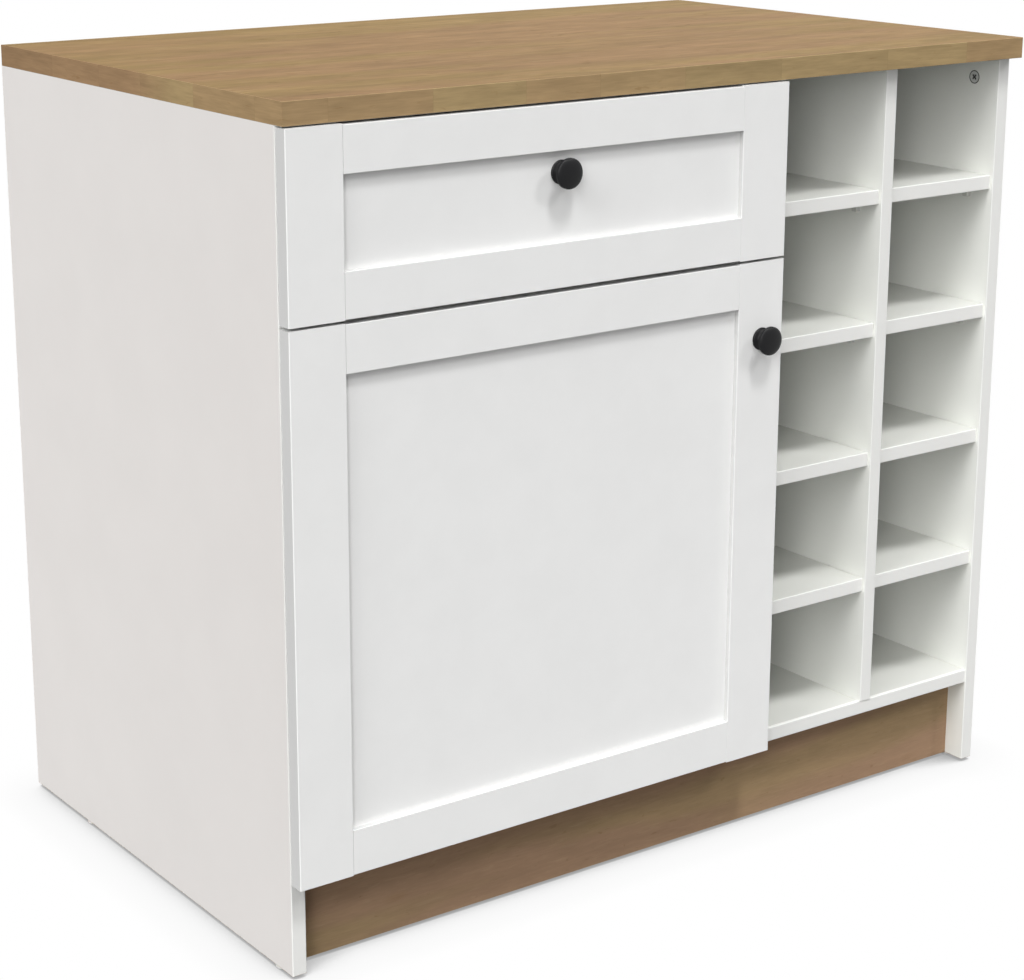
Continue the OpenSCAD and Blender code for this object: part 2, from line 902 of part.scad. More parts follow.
module door_buffers() {
    color(c_plastic) placed() for (z = [door_z0 + buffer_in, door_z1 - rail_rise - buffer_in])
        buffer([front_w - buffer_in, front_back_y, z]);
}

// Concealed hinges. Each has a plate on the side panel, an arm on the plate, a cup in the door
// and a bowed link between the two pivots.
hinge_zs = [door_z0 + hinge_end, door_z1 - hinge_end];
arm_pivot = [arm_pivot_x, arm_pivot_y];
cup_pivot = [cup_pivot_x, front_back_y - cup_pivot_y];
plate_t = 2;
plate_h = 50;
plate_w = 18;
plate_bar_w = 12;
plate_screw_z = 16;
plate_screw_r = 2;
plate_screw_in = 11;
plate_screw_head = 2;
plate_cheek_air = 1;
bar_ahead = 4;
bar_behind = 8;
cheek_slope = 10;
arm_wall = 1.2;
arm_out = 13.5;
arm_len = 58;
arm_gap = 0.2;
arm_inner_w = plate_bar_w + 2 * arm_gap;
arm_outer_w = arm_inner_w + 2 * arm_wall;
bar_top = arm_out - arm_wall - arm_gap;
nose_r = 3.4;
rim_w = 52;
rim_h = 13;
rim_x = 3;
rim_over = 1.5;
barrel_wall = 0.9;
barrel_r = pivot_r + pivot_play + barrel_wall;

module at_hinges() {
    for (z = hinge_zs) translate([0, 0, z]) children();
}

module plate_screw_bores() {
    at_hinges() for (side = [-1, 1])
        translate([board_t - plate_screw_in, plate_y, side * plate_screw_z])
            rotate([0, 90, 0]) cylinder(r = plate_screw_r, h = plate_screw_in + through);
}

module plate_screw() {
    translate([board_t - plate_screw_in, 0, 0]) rotate([0, 90, 0])
        cylinder(r = plate_screw_r, h = plate_screw_in + plate_t);
    translate([board_t + plate_t, 0, 0]) rotate([0, 90, 0])
        cylinder(r1 = screw_head_r, r2 = plate_screw_r, h = plate_screw_head);
}

module hinge_plates() {
    color(c_steel) placed() at_hinges() {
        translate([board_t, plate_y - plate_w / 2, -plate_h / 2])
            cube([plate_t, plate_w, plate_h]);
        translate([board_t, plate_y - plate_w / 2 - bar_ahead, -plate_bar_w / 2])
            cube([bar_top, bar_ahead + plate_w + bar_behind, plate_bar_w]);
        for (side = [-1, 1]) translate([0, plate_y, side * plate_screw_z]) plate_screw();
    }
}

// Outline of the arm's cheeks seen from above
module cheek_outline() {
    cheek_x = board_t + plate_t + plate_cheek_air;
    translate(arm_pivot) circle(nose_r);
    polygon([
        arm_pivot + [-nose_r, 0], [cheek_x, plate_y - plate_w / 2 - cheek_slope],
        [cheek_x, arm_len], [board_t + arm_out, arm_len],
        [board_t + arm_out, arm_pivot_y], arm_pivot + [0, -nose_r]
    ]);
}

module hinge_arms() {
    color(c_steel) placed() at_hinges() {
        difference() {
            translate([0, 0, -arm_outer_w / 2]) linear_extrude(arm_outer_w) cheek_outline();
            translate([board_t, -nose_r * 2, -arm_inner_w / 2])
                cube([arm_out - arm_wall, arm_len + nose_r * 3, arm_inner_w]);
        }
        translate([arm_pivot_x, arm_pivot_y, -arm_outer_w / 2])
            cylinder(r = pivot_r, h = arm_outer_w);
    }
}

// Arc through two points that bows to the left of the way from the first to the second
function arc_centre(a, b, bow) =
    let (chord = b - a, half = norm(chord) / 2, r = (half * half + bow * bow) / (2 * bow))
    (a + b) / 2 + (r - bow) * [chord[1], -chord[0]] / norm(chord);
function arc_radius(a, b, bow) =
    let (half = norm(b - a) / 2) (half * half + bow * bow) / (2 * bow);

module bowed_strip(a, b, bow) {
    centre = arc_centre(a, b, bow);
    r = arc_radius(a, b, bow);
    from = a - centre;
    to = b - centre;
    intersection() {
        translate(centre) difference() {
            circle(r + link_t / 2, $fn = 128);
            circle(r - link_t / 2, $fn = 128);
        }
        polygon([centre, centre + 2 * from, centre + 2 * to]);
    }
}

module link_outline() {
    difference() {
        union() {
            bowed_strip(arm_pivot, cup_pivot, link_bow);
            for (p = [arm_pivot, cup_pivot]) translate(p) circle(barrel_r);
        }
        for (p = [arm_pivot, cup_pivot]) translate(p) circle(pivot_r + pivot_play);
    }
}

module hinge_links() {
    color(c_steel) placed() at_hinges()
        translate([0, 0, -link_w / 2]) linear_extrude(link_w) link_outline();
}

// Cup with its rim plate on the back of the door and its pivot across the mouth
module hinge_cup() {
    inner = cup_r - cup_wall;
    pivot_side = cup_x - cup_pivot_x + pivot_r;
    pivot_half = sqrt(cup_r * cup_r - pivot_side * pivot_side) - cup_wall / 2;
    difference() {
        union() {
            translate([cup_x, front_back_y - cup_d, 0]) rotate([-90, 0, 0])
                cylinder(r = cup_r, h = cup_d);
            translate([0, front_back_y + rim_t, 0]) rotate([90, 0, 0])
                linear_extrude(rim_t) {
                    translate([cup_x, 0]) circle(cup_r + rim_over);
                    translate([cup_x + rim_x, -rim_w / 2]) square([rim_h, rim_w]);
                }
        }
        translate([cup_x, front_back_y - cup_d + cup_wall, 0]) rotate([-90, 0, 0])
            cylinder(r = inner, h = cup_d + rim_t + through);
    }
    translate([cup_pivot[0], cup_pivot[1], -pivot_half])
        cylinder(r = pivot_r, h = 2 * pivot_half);
}

module hinge_cups() {
    color(c_steel) placed() at_hinges() hinge_cup();
}

// Drawer front

// Screws from inside the box into the stiles, clear of the grooves for the centre panel
front_screw_cover = 1.5;
front_screw_x = stile_w - groove_d - knob_screw_r - front_screw_cover;
front_screw_z = 25;
front_screw_places = [
    for (x = [front_screw_x, front_w - front_screw_x])
        for (z = [box_z + front_screw_z, box_z + box_h - front_screw_z]) [x, front_back_y, z]
];
front_screw_in = 10;

module front_screw(head = true) {
    rotate([90, 0, 0]) translate([0, 0, -box_t])
        cylinder(r = knob_screw_r, h = box_t + front_screw_in);
    if (head) rotate([90, 0, 0]) translate([0, 0, -box_t - screw_head_h])
        cylinder(r = screw_head_r, h = screw_head_h);
}

module front_screw_bores() {
    for (place = front_screw_places) translate(place) front_screw(head = false);
}

module drawer_left_stile() {
    color(c_front) placed() difference() {
        left_stile(drawer_z0, drawer_z1);
        front_screw_bores();
    }
}

module drawer_right_stile() {
    color(c_front) placed() difference() {
        right_stile(drawer_z0, drawer_z1);
        front_screw_bores();
    }
}

module drawer_top_rail() {
    color(c_front) placed() top_rail_of(drawer_z1, drawer_rail_w);
}

module drawer_bottom_rail() {
    color(c_front) placed() bottom_rail_of(drawer_z0, drawer_rail_w);
}

module drawer_panel() {
    color(c_front) placed() difference() {
        centre_panel(drawer_z0, drawer_z1, drawer_rail_w);
        drawer_knob_place() translate([0, 0, -panel_t - through])
            cylinder(r = knob_screw_r, h = panel_t + 2 * through);
    }
}

module drawer_knob() {
    color(c_knob) placed() drawer_knob_place() knob();
}

module drawer_knob_screw() {
    color(c_steel) placed() drawer_knob_place() knob_screw(panel_t);
}

module drawer_buffers() {
    color(c_plastic) placed() for (x = [buffer_in, front_w - buffer_in])
        for (z = [drawer_z0 + buffer_in, drawer_z1 - buffer_in])
            buffer([x, front_back_y, z]);
}

module drawer_front_screws() {
    color(c_steel) placed() for (place = front_screw_places) translate(place) front_screw();
}

// Drawer box
box_x = board_t + runner_gap;
box_inner_x = box_x + box_t;
box_inner_w = 2 * (cupboard_mid - box_inner_x);
box_y = front_back_y;
box_y1 = box_y + box_l;

module drawer_bottom_groove() {
    translate([box_inner_x - housing, box_y + box_t - housing, box_z + box_bottom_z])
        cube([box_inner_w + 2 * housing, box_l - 2 * (box_t - housing), box_bottom_t]);
}

// Boards across the box, which end in housings in the drawer sides
module box_cross_board(y) {
    translate([box_inner_x - housing, y, box_z])
        cube([box_inner_w + 2 * housing, box_t, box_h]);
}

module drawer_side() {
    difference() {
        translate([box_x, box_y, box_z]) cube([box_t, box_l, box_h]);
        drawer_bottom_groove();
        box_cross_board(box_y);
        box_cross_board(box_y1 - box_t);
    }
}

module drawer_left_side() {
    color(c_board) placed() drawer_side();
}

module drawer_right_side() {
    color(c_board) placed() other_side() drawer_side();
}

module drawer_box_front() {
    color(c_board) placed() difference() {
        box_cross_board(box_y);
        drawer_bottom_groove();
        front_screw_bores();
    }
}

module drawer_box_back() {
    color(c_board) placed() difference() {
        box_cross_board(box_y1 - box_t);
        drawer_bottom_groove();
    }
}

module drawer_bottom() {
    color(c_hardboard) placed() drawer_bottom_groove();
}

// Roller runners. The cabinet runner is a channel with a roller at its front; the drawer runner
// is an angle under the drawer side, with a flange that rides on that roller and a roller at its
// rear end that runs in the channel.
channel_drop = 2;
channel_z = box_z - channel_drop;
channel_h = 2 * roller_r + 2 * roller_play;
flange_z = box_z + flange_rise;
cabinet_roller_z = flange_z - roller_play - roller_r;
drawer_roller_z = channel_z + roller_play + roller_r;
drawer_web_x = box_x - runner_t;
channel_air = 0.8;
channel_x1 = drawer_web_x - channel_air;
roller_side_air = 1;
cabinet_roller_x = board_t + runner_t + roller_side_air;
drawer_roller_x = drawer_web_x - roller_side_air - roller_w;
runner_y = 4;
runner_short = 6;
runner_l = box_l - runner_short;
roller_air = 3;
roller_cut = roller_r + roller_air;
hook_short = 2;
hook_w = box_t - hook_short;
drawer_roller_in = 16;
drawer_roller_y = box_y1 - drawer_roller_in;
web_end = 2;
axle_play = 0.1;
axle_end = 0.6;
axle_head = 1.2;
axle_head_over = 1;
axle_head_r = axle_r + axle_head_over;
roller_edge = 0.5;

module cabinet_runner() {
    // Web on the side panel, which reaches down behind the roller at the front
    translate([board_t, runner_y, channel_z - runner_t])
        cube([runner_t, runner_l, channel_h + 2 * runner_t]);
    translate([board_t, runner_y, cabinet_roller_z - roller_r / 2])
        cube([runner_t, roller_front + roller_cut - runner_y, roller_r]);
    // Lower and upper flanges
    translate([board_t, roller_front + roller_cut, channel_z - runner_t])
        cube([channel_x1 - board_t, runner_y + runner_l - roller_front - roller_cut, runner_t]);
    translate([board_t, runner_y, channel_z + channel_h])
        cube([channel_x1 - board_t, runner_l, runner_t]);
    // Axle of the roller
    translate([board_t, roller_front, cabinet_roller_z]) rotate([0, 90, 0]) {
        cylinder(r = axle_r, h = cabinet_roller_x - board_t + roller_w + axle_end);
        translate([0, 0, cabinet_roller_x - board_t + roller_w + axle_end])
            cylinder(r = axle_head_r, h = axle_head);
    }
}

module drawer_runner() {
    web_y1 = drawer_roller_y + roller_r + web_end;
    // Web beside the drawer side, hook under it and flange that rides on the roller
    translate([drawer_web_x, runner_y, box_z - runner_t])
        cube([runner_t, web_y1 - runner_y, flange_rise + 2 * runner_t]);
    translate([drawer_web_x, runner_y, box_z - runner_t])
        cube([hook_w + runner_t, web_y1 - runner_y, runner_t]);
    translate([cabinet_roller_x, runner_y, flange_z])
        cube([drawer_web_x - cabinet_roller_x + runner_t,
            drawer_roller_y - roller_cut - runner_y, runner_t]);
    // Axle of the roller
    translate([drawer_web_x + runner_t, drawer_roller_y, drawer_roller_z]) rotate([0, -90, 0]) {
        cylinder(r = axle_r, h = box_x - drawer_roller_x + axle_end);
        translate([0, 0, box_x - drawer_roller_x + axle_end])
            cylinder(r = axle_head_r, h = axle_head);
    }
}

module roller() {
    rotate([0, 90, 0]) rotate_extrude() polygon([
        [axle_r + axle_play, 0], [roller_r - roller_edge, 0], [roller_r, roller_edge],
        [roller_r, roller_w - roller_edge], [roller_r - roller_edge, roller_w],
        [axle_r + axle_play, roller_w]
    ]);
}

module cabinet_runner_left() {
    color(c_runner) placed() cabinet_runner();
}

module cabinet_runner_right() {
    color(c_runner) placed() other_side() cabinet_runner();
}

module drawer_runner_left() {
    color(c_runner) placed() drawer_runner();
}

module drawer_runner_right() {
    color(c_runner) placed() other_side() drawer_runner();
}

module cabinet_rollers() {
    color(c_plastic) placed() {
        translate([cabinet_roller_x, roller_front, cabinet_roller_z]) roller();
        other_side() translate([cabinet_roller_x, roller_front, cabinet_roller_z]) roller();
    }
}

module drawer_rollers() {
    color(c_plastic) placed() {
        translate([drawer_roller_x, drawer_roller_y, drawer_roller_z]) roller();
        other_side() translate([drawer_roller_x, drawer_roller_y, drawer_roller_z]) roller();
    }
}

worktop();
left_side_panel();
partition_panel();
right_side_panel();
rack_divider();
bottom_panel();
drawer_rail();
front_plinth();
rear_plinth();
cupboard_back();
rack_back();
cupboard_shelf();
rack_shelf(1);  // rack_shelf_1
rack_shelf(2);  // rack_shelf_2
rack_shelf(3);  // rack_shelf_3
rack_shelf(4);  // rack_shelf_4
rack_shelf(5);  // rack_shelf_5
rack_shelf(6);  // rack_shelf_6
rack_shelf(7);  // rack_shelf_7
rack_shelf(8);  // rack_shelf_8
shelf_supports();
cams();
cam_bolts();
dowels();
connecting_screws();
floor_glides();
door_hinge_stile();
door_knob_stile();
door_top_rail();
door_bottom_rail();
door_panel();
door_knob();
door_knob_screw();
door_buffers();
hinge_cups();
hinge_links();
hinge_arms();
hinge_plates();
drawer_left_stile();
drawer_right_stile();
drawer_top_rail();
drawer_bottom_rail();
drawer_panel();
drawer_knob();
drawer_knob_screw();
drawer_buffers();
drawer_left_side();
drawer_right_side();
drawer_box_front();
drawer_box_back();
drawer_bottom();
drawer_front_screws();
cabinet_runner_left();
cabinet_runner_right();
cabinet_rollers();
drawer_runner_left();
drawer_runner_right();
drawer_rollers();
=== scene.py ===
# %% [markdown]
# # Kitchen storage cabinet
# A base unit for a kitchen: one drawer and one door on the left, an open bottle rack on the right,
# and an oak-look worktop over both. Its construction comes ready as a frame of named pieces. This
# lesson gives each piece its finish, makes the small parts that reward a close look, and lights
# the whole. The frame is loaded first, because every place below is taken from it.

# %% Load the frame
import math
import bmesh
import bpy
from mathutils import Matrix, Vector


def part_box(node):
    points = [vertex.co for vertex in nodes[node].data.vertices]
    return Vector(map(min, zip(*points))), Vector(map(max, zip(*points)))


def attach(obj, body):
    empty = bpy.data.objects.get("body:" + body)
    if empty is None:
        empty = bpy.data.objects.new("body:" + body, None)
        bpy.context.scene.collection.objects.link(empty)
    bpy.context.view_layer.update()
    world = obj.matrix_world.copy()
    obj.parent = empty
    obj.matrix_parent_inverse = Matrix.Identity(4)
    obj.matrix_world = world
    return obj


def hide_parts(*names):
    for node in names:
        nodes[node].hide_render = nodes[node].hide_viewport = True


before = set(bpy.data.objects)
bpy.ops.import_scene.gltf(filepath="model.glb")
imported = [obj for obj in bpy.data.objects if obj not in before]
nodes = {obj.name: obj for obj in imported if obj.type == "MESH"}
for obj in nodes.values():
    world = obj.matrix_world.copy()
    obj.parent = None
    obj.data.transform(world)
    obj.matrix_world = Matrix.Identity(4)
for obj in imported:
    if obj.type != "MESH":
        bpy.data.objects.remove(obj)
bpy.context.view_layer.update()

# %% [markdown]
# ## Camera
# The camera stands in front of the left end of the cabinet, a little above its worktop, and looks
# to the right and down. Its axis doesn't pass through the middle of the picture, so the lens is
# shifted instead of turned, which keeps the upright edges as the photograph shows them.

# %% Place the camera
# Lengths are in metres, and what the name calls PX is counted in pixels of the picture
def new_object(name, data):
    """An object with its data, linked into the scene."""
    thing = bpy.data.objects.new(name, data)
    bpy.context.scene.collection.objects.link(thing)
    return thing


EYE = Vector((-1.53765, -2.08112, 1.12704))
TURN_RIGHT = math.radians(35.158)
TILT_DOWN = math.radians(14.75)
ROLL = math.radians(-0.073)
PICTURE_W, PICTURE_H = 1024, 980
FOCUS_PX = 2366.4
AXIS_X_PX, AXIS_Y_PX = 470.8, 410.6
SENSOR_W = 36.0

ahead = Vector((math.sin(TURN_RIGHT) * math.cos(TILT_DOWN),
                math.cos(TURN_RIGHT) * math.cos(TILT_DOWN), -math.sin(TILT_DOWN)))
level_right = Vector((math.cos(TURN_RIGHT), -math.sin(TURN_RIGHT), 0))
level_up = level_right.cross(ahead)
right = math.cos(ROLL) * level_right + math.sin(ROLL) * level_up
up = math.cos(ROLL) * level_up - math.sin(ROLL) * level_right

lens = bpy.data.cameras.new("camera")
lens.sensor_width = SENSOR_W
lens.lens = FOCUS_PX * SENSOR_W / PICTURE_W
lens.shift_x = (PICTURE_W / 2 - AXIS_X_PX) / PICTURE_W
lens.shift_y = (AXIS_Y_PX - PICTURE_H / 2) / PICTURE_W
camera = new_object("camera", lens)
camera.matrix_world = Matrix.Translation(EYE) @ Matrix((right, up, -ahead)).transposed().to_4x4()
bpy.context.scene.camera = camera
print("lens", round(lens.lens, 2), "mm, shift", round(lens.shift_x, 4), round(lens.shift_y, 4))

# %% [markdown]
# ## Helpers for shaders
# Every finish below is a small tree of shader nodes. One helper adds a node, sets its options and
# fills its inputs, either with a plain value or with the output of another node. Colours are
# written as they are read from a paint chart, 0 to 255, and turned into light values. The view
# transform is Standard, so a paint shows about as it is written.

# %% Nodes and sums
bpy.context.scene.view_settings.view_transform = "Standard"


def fill(tree, node, inputs):
    """Inputs, found by name or by number, filled with plain values or with links."""
    for key, value in inputs.items():
        if isinstance(value, bpy.types.NodeSocket):
            tree.links.new(value, node.inputs[key])
        else:
            node.inputs[key].default_value = value


def add(tree, kind, inputs=None, **options):
    """A node with its options set first and its inputs filled."""
    node = tree.nodes.new(kind)
    for option, value in options.items():
        setattr(node, option, value)
    fill(tree, node, inputs or {})
    return node


def math_node(tree, operation, first, second=0.5):
    return add(tree, "ShaderNodeMath", {0: first, 1: second}, operation=operation).outputs[0]


def near(tree, value, middle, reach):
    """1 where the value lies within reach of the middle, else 0."""
    node = add(tree, "ShaderNodeMath", {0: value, 1: middle, 2: reach}, operation="COMPARE")
    return node.outputs[0]


def axes_of(tree, place):
    """The X, Y and Z of a place."""
    return add(tree, "ShaderNodeSeparateXYZ", {0: place}).outputs


print("view transform:", bpy.context.scene.view_settings.view_transform)

# %% Paints, ramps and noise
def paint(red, green, blue):
    """A colour from chart values as light values."""
    def light(value):
        share = value / 255
        return share / 12.92 if share < 0.04045 else ((share + 0.055) / 1.055) ** 2.4
    return light(red), light(green), light(blue), 1.0


def ramp(tree, value, stops):
    """A colour ramp with stops of (place, colour)."""
    node = add(tree, "ShaderNodeValToRGB", {0: value})
    elements = node.color_ramp.elements
    while len(elements) < len(stops):
        elements.new(0.5)
    for element, (place, colour) in zip(elements, stops):
        element.position = place
        element.color = colour
    return node.outputs["Color"]


def spread(tree, value, low, high, out_low=0.0, out_high=1.0):
    """The value between low and high, spread over another range and held at its ends."""
    node = add(tree, "ShaderNodeMapRange", {"Value": value, "From Min": low, "From Max": high,
                                            "To Min": out_low, "To Max": out_high}, clamp=True)
    return node.outputs["Result"]


def between(tree, share, first, second):
    """The first number where the share is 0, the second where it is 1."""
    return spread(tree, share, 0.0, 1.0, first, second)


def mix_colour(tree, share, first, second, blend="MIX"):
    return add(tree, "ShaderNodeMix", {"Factor": share, 6: first, 7: second},
               data_type="RGBA", blend_type=blend).outputs[2]


def stretched(tree, place, scale):
    """The place with each axis scaled by itself."""
    return add(tree, "ShaderNodeVectorMath", {0: place, 1: scale}, operation="MULTIPLY").outputs[0]


# Noise gathers around 0.5, so a finish spreads one of these middle ranges over its own values
NOISE_WIDE = (0.30, 0.70)
NOISE_MARK = (0.32, 0.68)
NOISE_CLOUD = (0.35, 0.65)
NOISE_BAND = (0.42, 0.58)


def noise(tree, place, scale=1.0, detail=3.0, roughness=0.5, distortion=0.0):
    node = add(tree, "ShaderNodeTexNoise", {"Vector": place, "Scale": scale, "Detail": detail,
                                            "Roughness": roughness, "Distortion": distortion})
    return node.outputs["Fac"]


print("chart grey 128 as light:", round(paint(128, 128, 128)[0], 3))

# %% Materials and groups
def new_finish(name):
    """A material, its tree, its Principled shader and the place of the point on the piece."""
    material = bpy.data.materials.new(name)
    material.use_nodes = True
    tree = material.node_tree
    shader = tree.nodes["Principled BSDF"]
    place = add(tree, "ShaderNodeTexCoord").outputs["Object"]
    return material, tree, shader, place


# Depth of the fine relief of each surface, in metres
RELIEF = {"print": 0.00005, "melamine": 0.00005, "foil": 0.00004, "fibre": 0.00008,
          "paint": 0.00004, "metal": 0.00002, "coat": 0.00006, "plastic": 0.00003, "beech": 0.0001}


def bump(tree, shader, height, surface):
    """The surface's fine relief on the shader's normals."""
    node = add(tree, "ShaderNodeBump", {"Height": height, "Distance": RELIEF[surface], "Strength": 1.0})
    fill(tree, shader, {"Normal": node.outputs["Normal"]})


def gloss(tree, shader, height, in_hollows, on_crests):
    """Roughness that follows the fine relief between two values."""
    fill(tree, shader, {"Roughness": spread(tree, height, *NOISE_WIDE, in_hollows, on_crests)})


def new_group(name, numbers, outputs):
    """A shader group with a Place input and with named numbers as inputs and outputs."""
    group = bpy.data.node_groups.new(name, "ShaderNodeTree")
    group.interface.new_socket("Place", in_out="INPUT", socket_type="NodeSocketVector")
    for number, value in numbers.items():
        socket = group.interface.new_socket(number, in_out="INPUT", socket_type="NodeSocketFloat")
        socket.default_value = value
    for output in outputs:
        group.interface.new_socket(output, in_out="OUTPUT", socket_type="NodeSocketFloat")
    return group, group.nodes.new("NodeGroupInput").outputs, group.nodes.new("NodeGroupOutput")


def use_group(tree, group, inputs):
    return add(tree, "ShaderNodeGroup", inputs, node_tree=group).outputs


print("reliefs in micrometres:", {name: round(depth * 1e6) for name, depth in RELIEF.items()})

# %% [markdown]
# ## Effects that several finishes share
# Melamine, foil and moulded plastic all have a fine pearl that breaks up the light, and all metals
# here have fine lines from rolling or turning. Each effect is one group with named inputs, and
# each finish uses it with its own sizes. A group only gives masks and heights, and the finish
# itself decides on colour and gloss.

# %% Pearl and lines
pearl, pearl_in, pearl_out = new_group("fine_pearl", {"Grain": 0.0008, "Cloud": 0.06},
                                       ["Height", "Cloud"])
grain_scale = math_node(pearl, "DIVIDE", 1.0, pearl_in["Grain"])
cloud_scale = math_node(pearl, "DIVIDE", 1.0, pearl_in["Cloud"])
fine_grain = noise(pearl, pearl_in["Place"], grain_scale, detail=2.0, roughness=0.6)
wide_clouds = noise(pearl, pearl_in["Place"], cloud_scale, roughness=0.55)
fill(pearl, pearl_out, {"Height": fine_grain, "Cloud": wide_clouds})

lines, lines_in, lines_out = new_group("rolled_lines", {"Line": 0.0004, "Length": 0.02}, ["Height"])
line_x = math_node(lines, "DIVIDE", 1.0, lines_in["Line"])
line_z = math_node(lines, "DIVIDE", 1.0, lines_in["Length"])
line_scale = add(lines, "ShaderNodeCombineXYZ", {"X": line_x, "Y": line_x, "Z": line_z}).outputs[0]
fine_lines = noise(lines, stretched(lines, lines_in["Place"], line_scale), detail=2.0)
fill(lines, lines_out, {"Height": fine_lines})
print("groups:", pearl.name, lines.name)

# %% Paint with pearl and clouds
def clouded(tree, fine, span, first, second):
    """Paint that clouds over from one tone to another."""
    return mix_colour(tree, spread(tree, fine["Cloud"], *span), first, second)


def even_finish(name, grain, cloud, tones, surface, settings, rough=None, span=NOISE_WIDE):
    """One paint all over, with pearl, clouds between two tones, and varied roughness if given."""
    material, tree, shader, place = new_finish(name)
    fine = use_group(tree, pearl, {"Place": place, "Grain": grain, "Cloud": cloud})
    fill(tree, shader, {"Base Color": clouded(tree, fine, span, *tones), **settings})
    if rough:
        gloss(tree, shader, fine["Height"], *rough)
    bump(tree, shader, fine["Height"], surface)
    return material


print("clouds grow while the noise goes from", NOISE_WIDE[0], "to", NOISE_WIDE[1])

# %% Wood figure
figure, figure_in, figure_out = new_group(
    "wood_figure", {"Band": 0.1, "Cloud": 0.03, "Streak": 0.008, "Pore": 0.0015},
    ["Band", "Cloud", "Streak", "Pore", "Cream", "Fleck"])


def along_grain(width, stretch, shift):
    """The place scaled so that a mark is one width wide across the grain and longer along it."""
    across = math_node(figure, "DIVIDE", 1.0, figure_in[width])
    lengthwise = math_node(figure, "MULTIPLY", across, stretch)
    scale = add(figure, "ShaderNodeCombineXYZ", {"X": lengthwise, "Y": across, "Z": across}).outputs[0]
    moved = add(figure, "ShaderNodeVectorMath", {0: figure_in["Place"], 1: shift},
                operation="ADD").outputs[0]
    return stretched(figure, moved, scale)


# Each mark: the width that sets its size, its width over its length, a shift, detail and swirl
MARKS = {
    "Band": ("Band", 0.12, (0.31, 0.17, 0.05), 2.0, 0.2),
    "Cloud": ("Cloud", 0.22, (0.11, 0.07, 0.02), 3.0, 0.5),
    "Streak": ("Streak", 0.17, (0.23, 0.41, 0.09), 3.0, 0.5),
    "Pore": ("Pore", 0.06, (0.0, 0.0, 0.0), 2.0, 0.1),
    "Cream": ("Streak", 0.15, (0.57, 0.23, 0.13), 2.0, 0.7),
    "Fleck": ("Streak", 0.24, (0.83, 0.61, 0.37), 2.0, 0.8),
}
for mark, (width, stretch, shift, detail, swirl) in MARKS.items():
    marked = noise(figure, along_grain(width, stretch, shift), detail=detail, distortion=swirl)
    fill(figure, figure_out, {mark: marked})
print("wood figure with", list(MARKS))

# %% [markdown]
# ## Oak-look laminate
# The worktop is chipboard under a printed oak sheet. The print runs lengthwise in wide soft bands,
# some yellowish and some pinkish, with short streaks, creamy flares and small dark flecks. It is
# low in contrast, so each mark only shades the colour by a few per cent. The pattern is worked out
# from the place on the board, so it stays sharp at any distance and needs no picture.

# %% Colours of the oak print
OAK_YELLOW = paint(181, 151, 109)
OAK_PINK = paint(181, 146, 112)
OAK_CREAM = paint(199, 169, 129)
OAK_FLECK = paint(137, 106, 69)
MARK_DEPTHS = {"Cloud": 0.10, "Streak": 0.06, "Pore": 0.06}
FLARE_FROM, FLARE_FULL, FLARE_SHARE = 0.58, 0.72, 0.45
FLECK_FROM, FLECK_FULL, FLECK_SHARE = 0.66, 0.73, 0.45


def shaded(tree, colour, tone):
    """The colour made darker or lighter by a tone around 1."""
    grey = add(tree, "ShaderNodeCombineColor", {0: tone, 1: tone, 2: tone}).outputs[0]
    return mix_colour(tree, 1.0, colour, grey, "MULTIPLY")


def tone_of_marks(tree, wood, depths, marks=1.0):
    """A tone around 1 from the wood's marks, each with its own depth."""
    tone = 1.0
    for mark, depth in depths.items():
        share = spread(tree, wood[mark], *NOISE_MARK, 1 - depth * marks, 1 + depth * marks)
        tone = math_node(tree, "MULTIPLY", share, tone)
    return tone


def oak_colour(tree, wood, pinkness, painted_shade, marks=1.0):
    """Colour of the print, yellowish at 0 and pinkish at 1, shaded by the wood's figure and darkened by
    painted shade.
    """
    base = mix_colour(tree, pinkness, OAK_YELLOW, OAK_PINK)
    flare = spread(tree, wood["Cream"], FLARE_FROM, FLARE_FULL, 0.0, FLARE_SHARE * marks)
    base = mix_colour(tree, flare, base, OAK_CREAM)
    fleck = spread(tree, wood["Fleck"], FLECK_FROM, FLECK_FULL, 0.0, FLECK_SHARE * marks)
    base = mix_colour(tree, fleck, base, OAK_FLECK)
    tone = tone_of_marks(tree, wood, MARK_DEPTHS, marks)
    return mix_colour(tree, 1.0, shaded(tree, base, tone), painted_shade, "MULTIPLY")


print("marks shade the print by", MARK_DEPTHS)

# %% [markdown]
# ## Worktop
# The top sheet carries the print along the board. The edges carry a band that was printed and
# glued on apart: its print looks like short blocks, some olive and some reddish, and a hairline
# shows where band and sheet meet. The left end turns reddish towards the rear. The top faces more
# light than the edges do, so shade is painted into its print and makes it a little darker. Under
# the board is a plain backing paper, which also keeps the light in the top cells of the rack
# neutral. The faces could each get a material of their own, but one material that measures how far
# a point lies from the ends of the board needs no change to the mesh and draws the hairline too.

# %% Sizes and paints of the worktop
# Lengths are in metres, and a share says how far a second paint covers the first
BAND_T = 0.0010
SEAM_W = 0.0004
SKIN = 0.0002
SEAM_SHARE = 0.35
BLOCK_L = 0.12
BLOCK_RED_FROM, BLOCK_RED_FULL, BLOCK_RED_SHARE = 0.35, 0.75, 0.7
END_RED_FROM, END_RED_FULL = 0.20, 0.28
BAND_FLECK_FULL, BAND_FLECK_SHARE = 0.74, 0.4
BAND_DEPTHS = {"Cloud": 0.08, "Streak": 0.07, "Pore": 0.05}
BLOCK_TONES = (0.96, 1.03)
END_RED_TONE, JOINT_TONE = 0.90, 0.86
# Painted shade: the top gets more light than the edges, so its print is written darker
TOP_PAINTED_SHADE = paint(197, 198, 190)
BAND_OLIVE = paint(168, 145, 106)
BAND_RED = paint(165, 135, 102)
BACKING = paint(196, 194, 188)
print("edge band", BAND_T * 1000, "mm thick, in blocks of", BLOCK_L, "m")

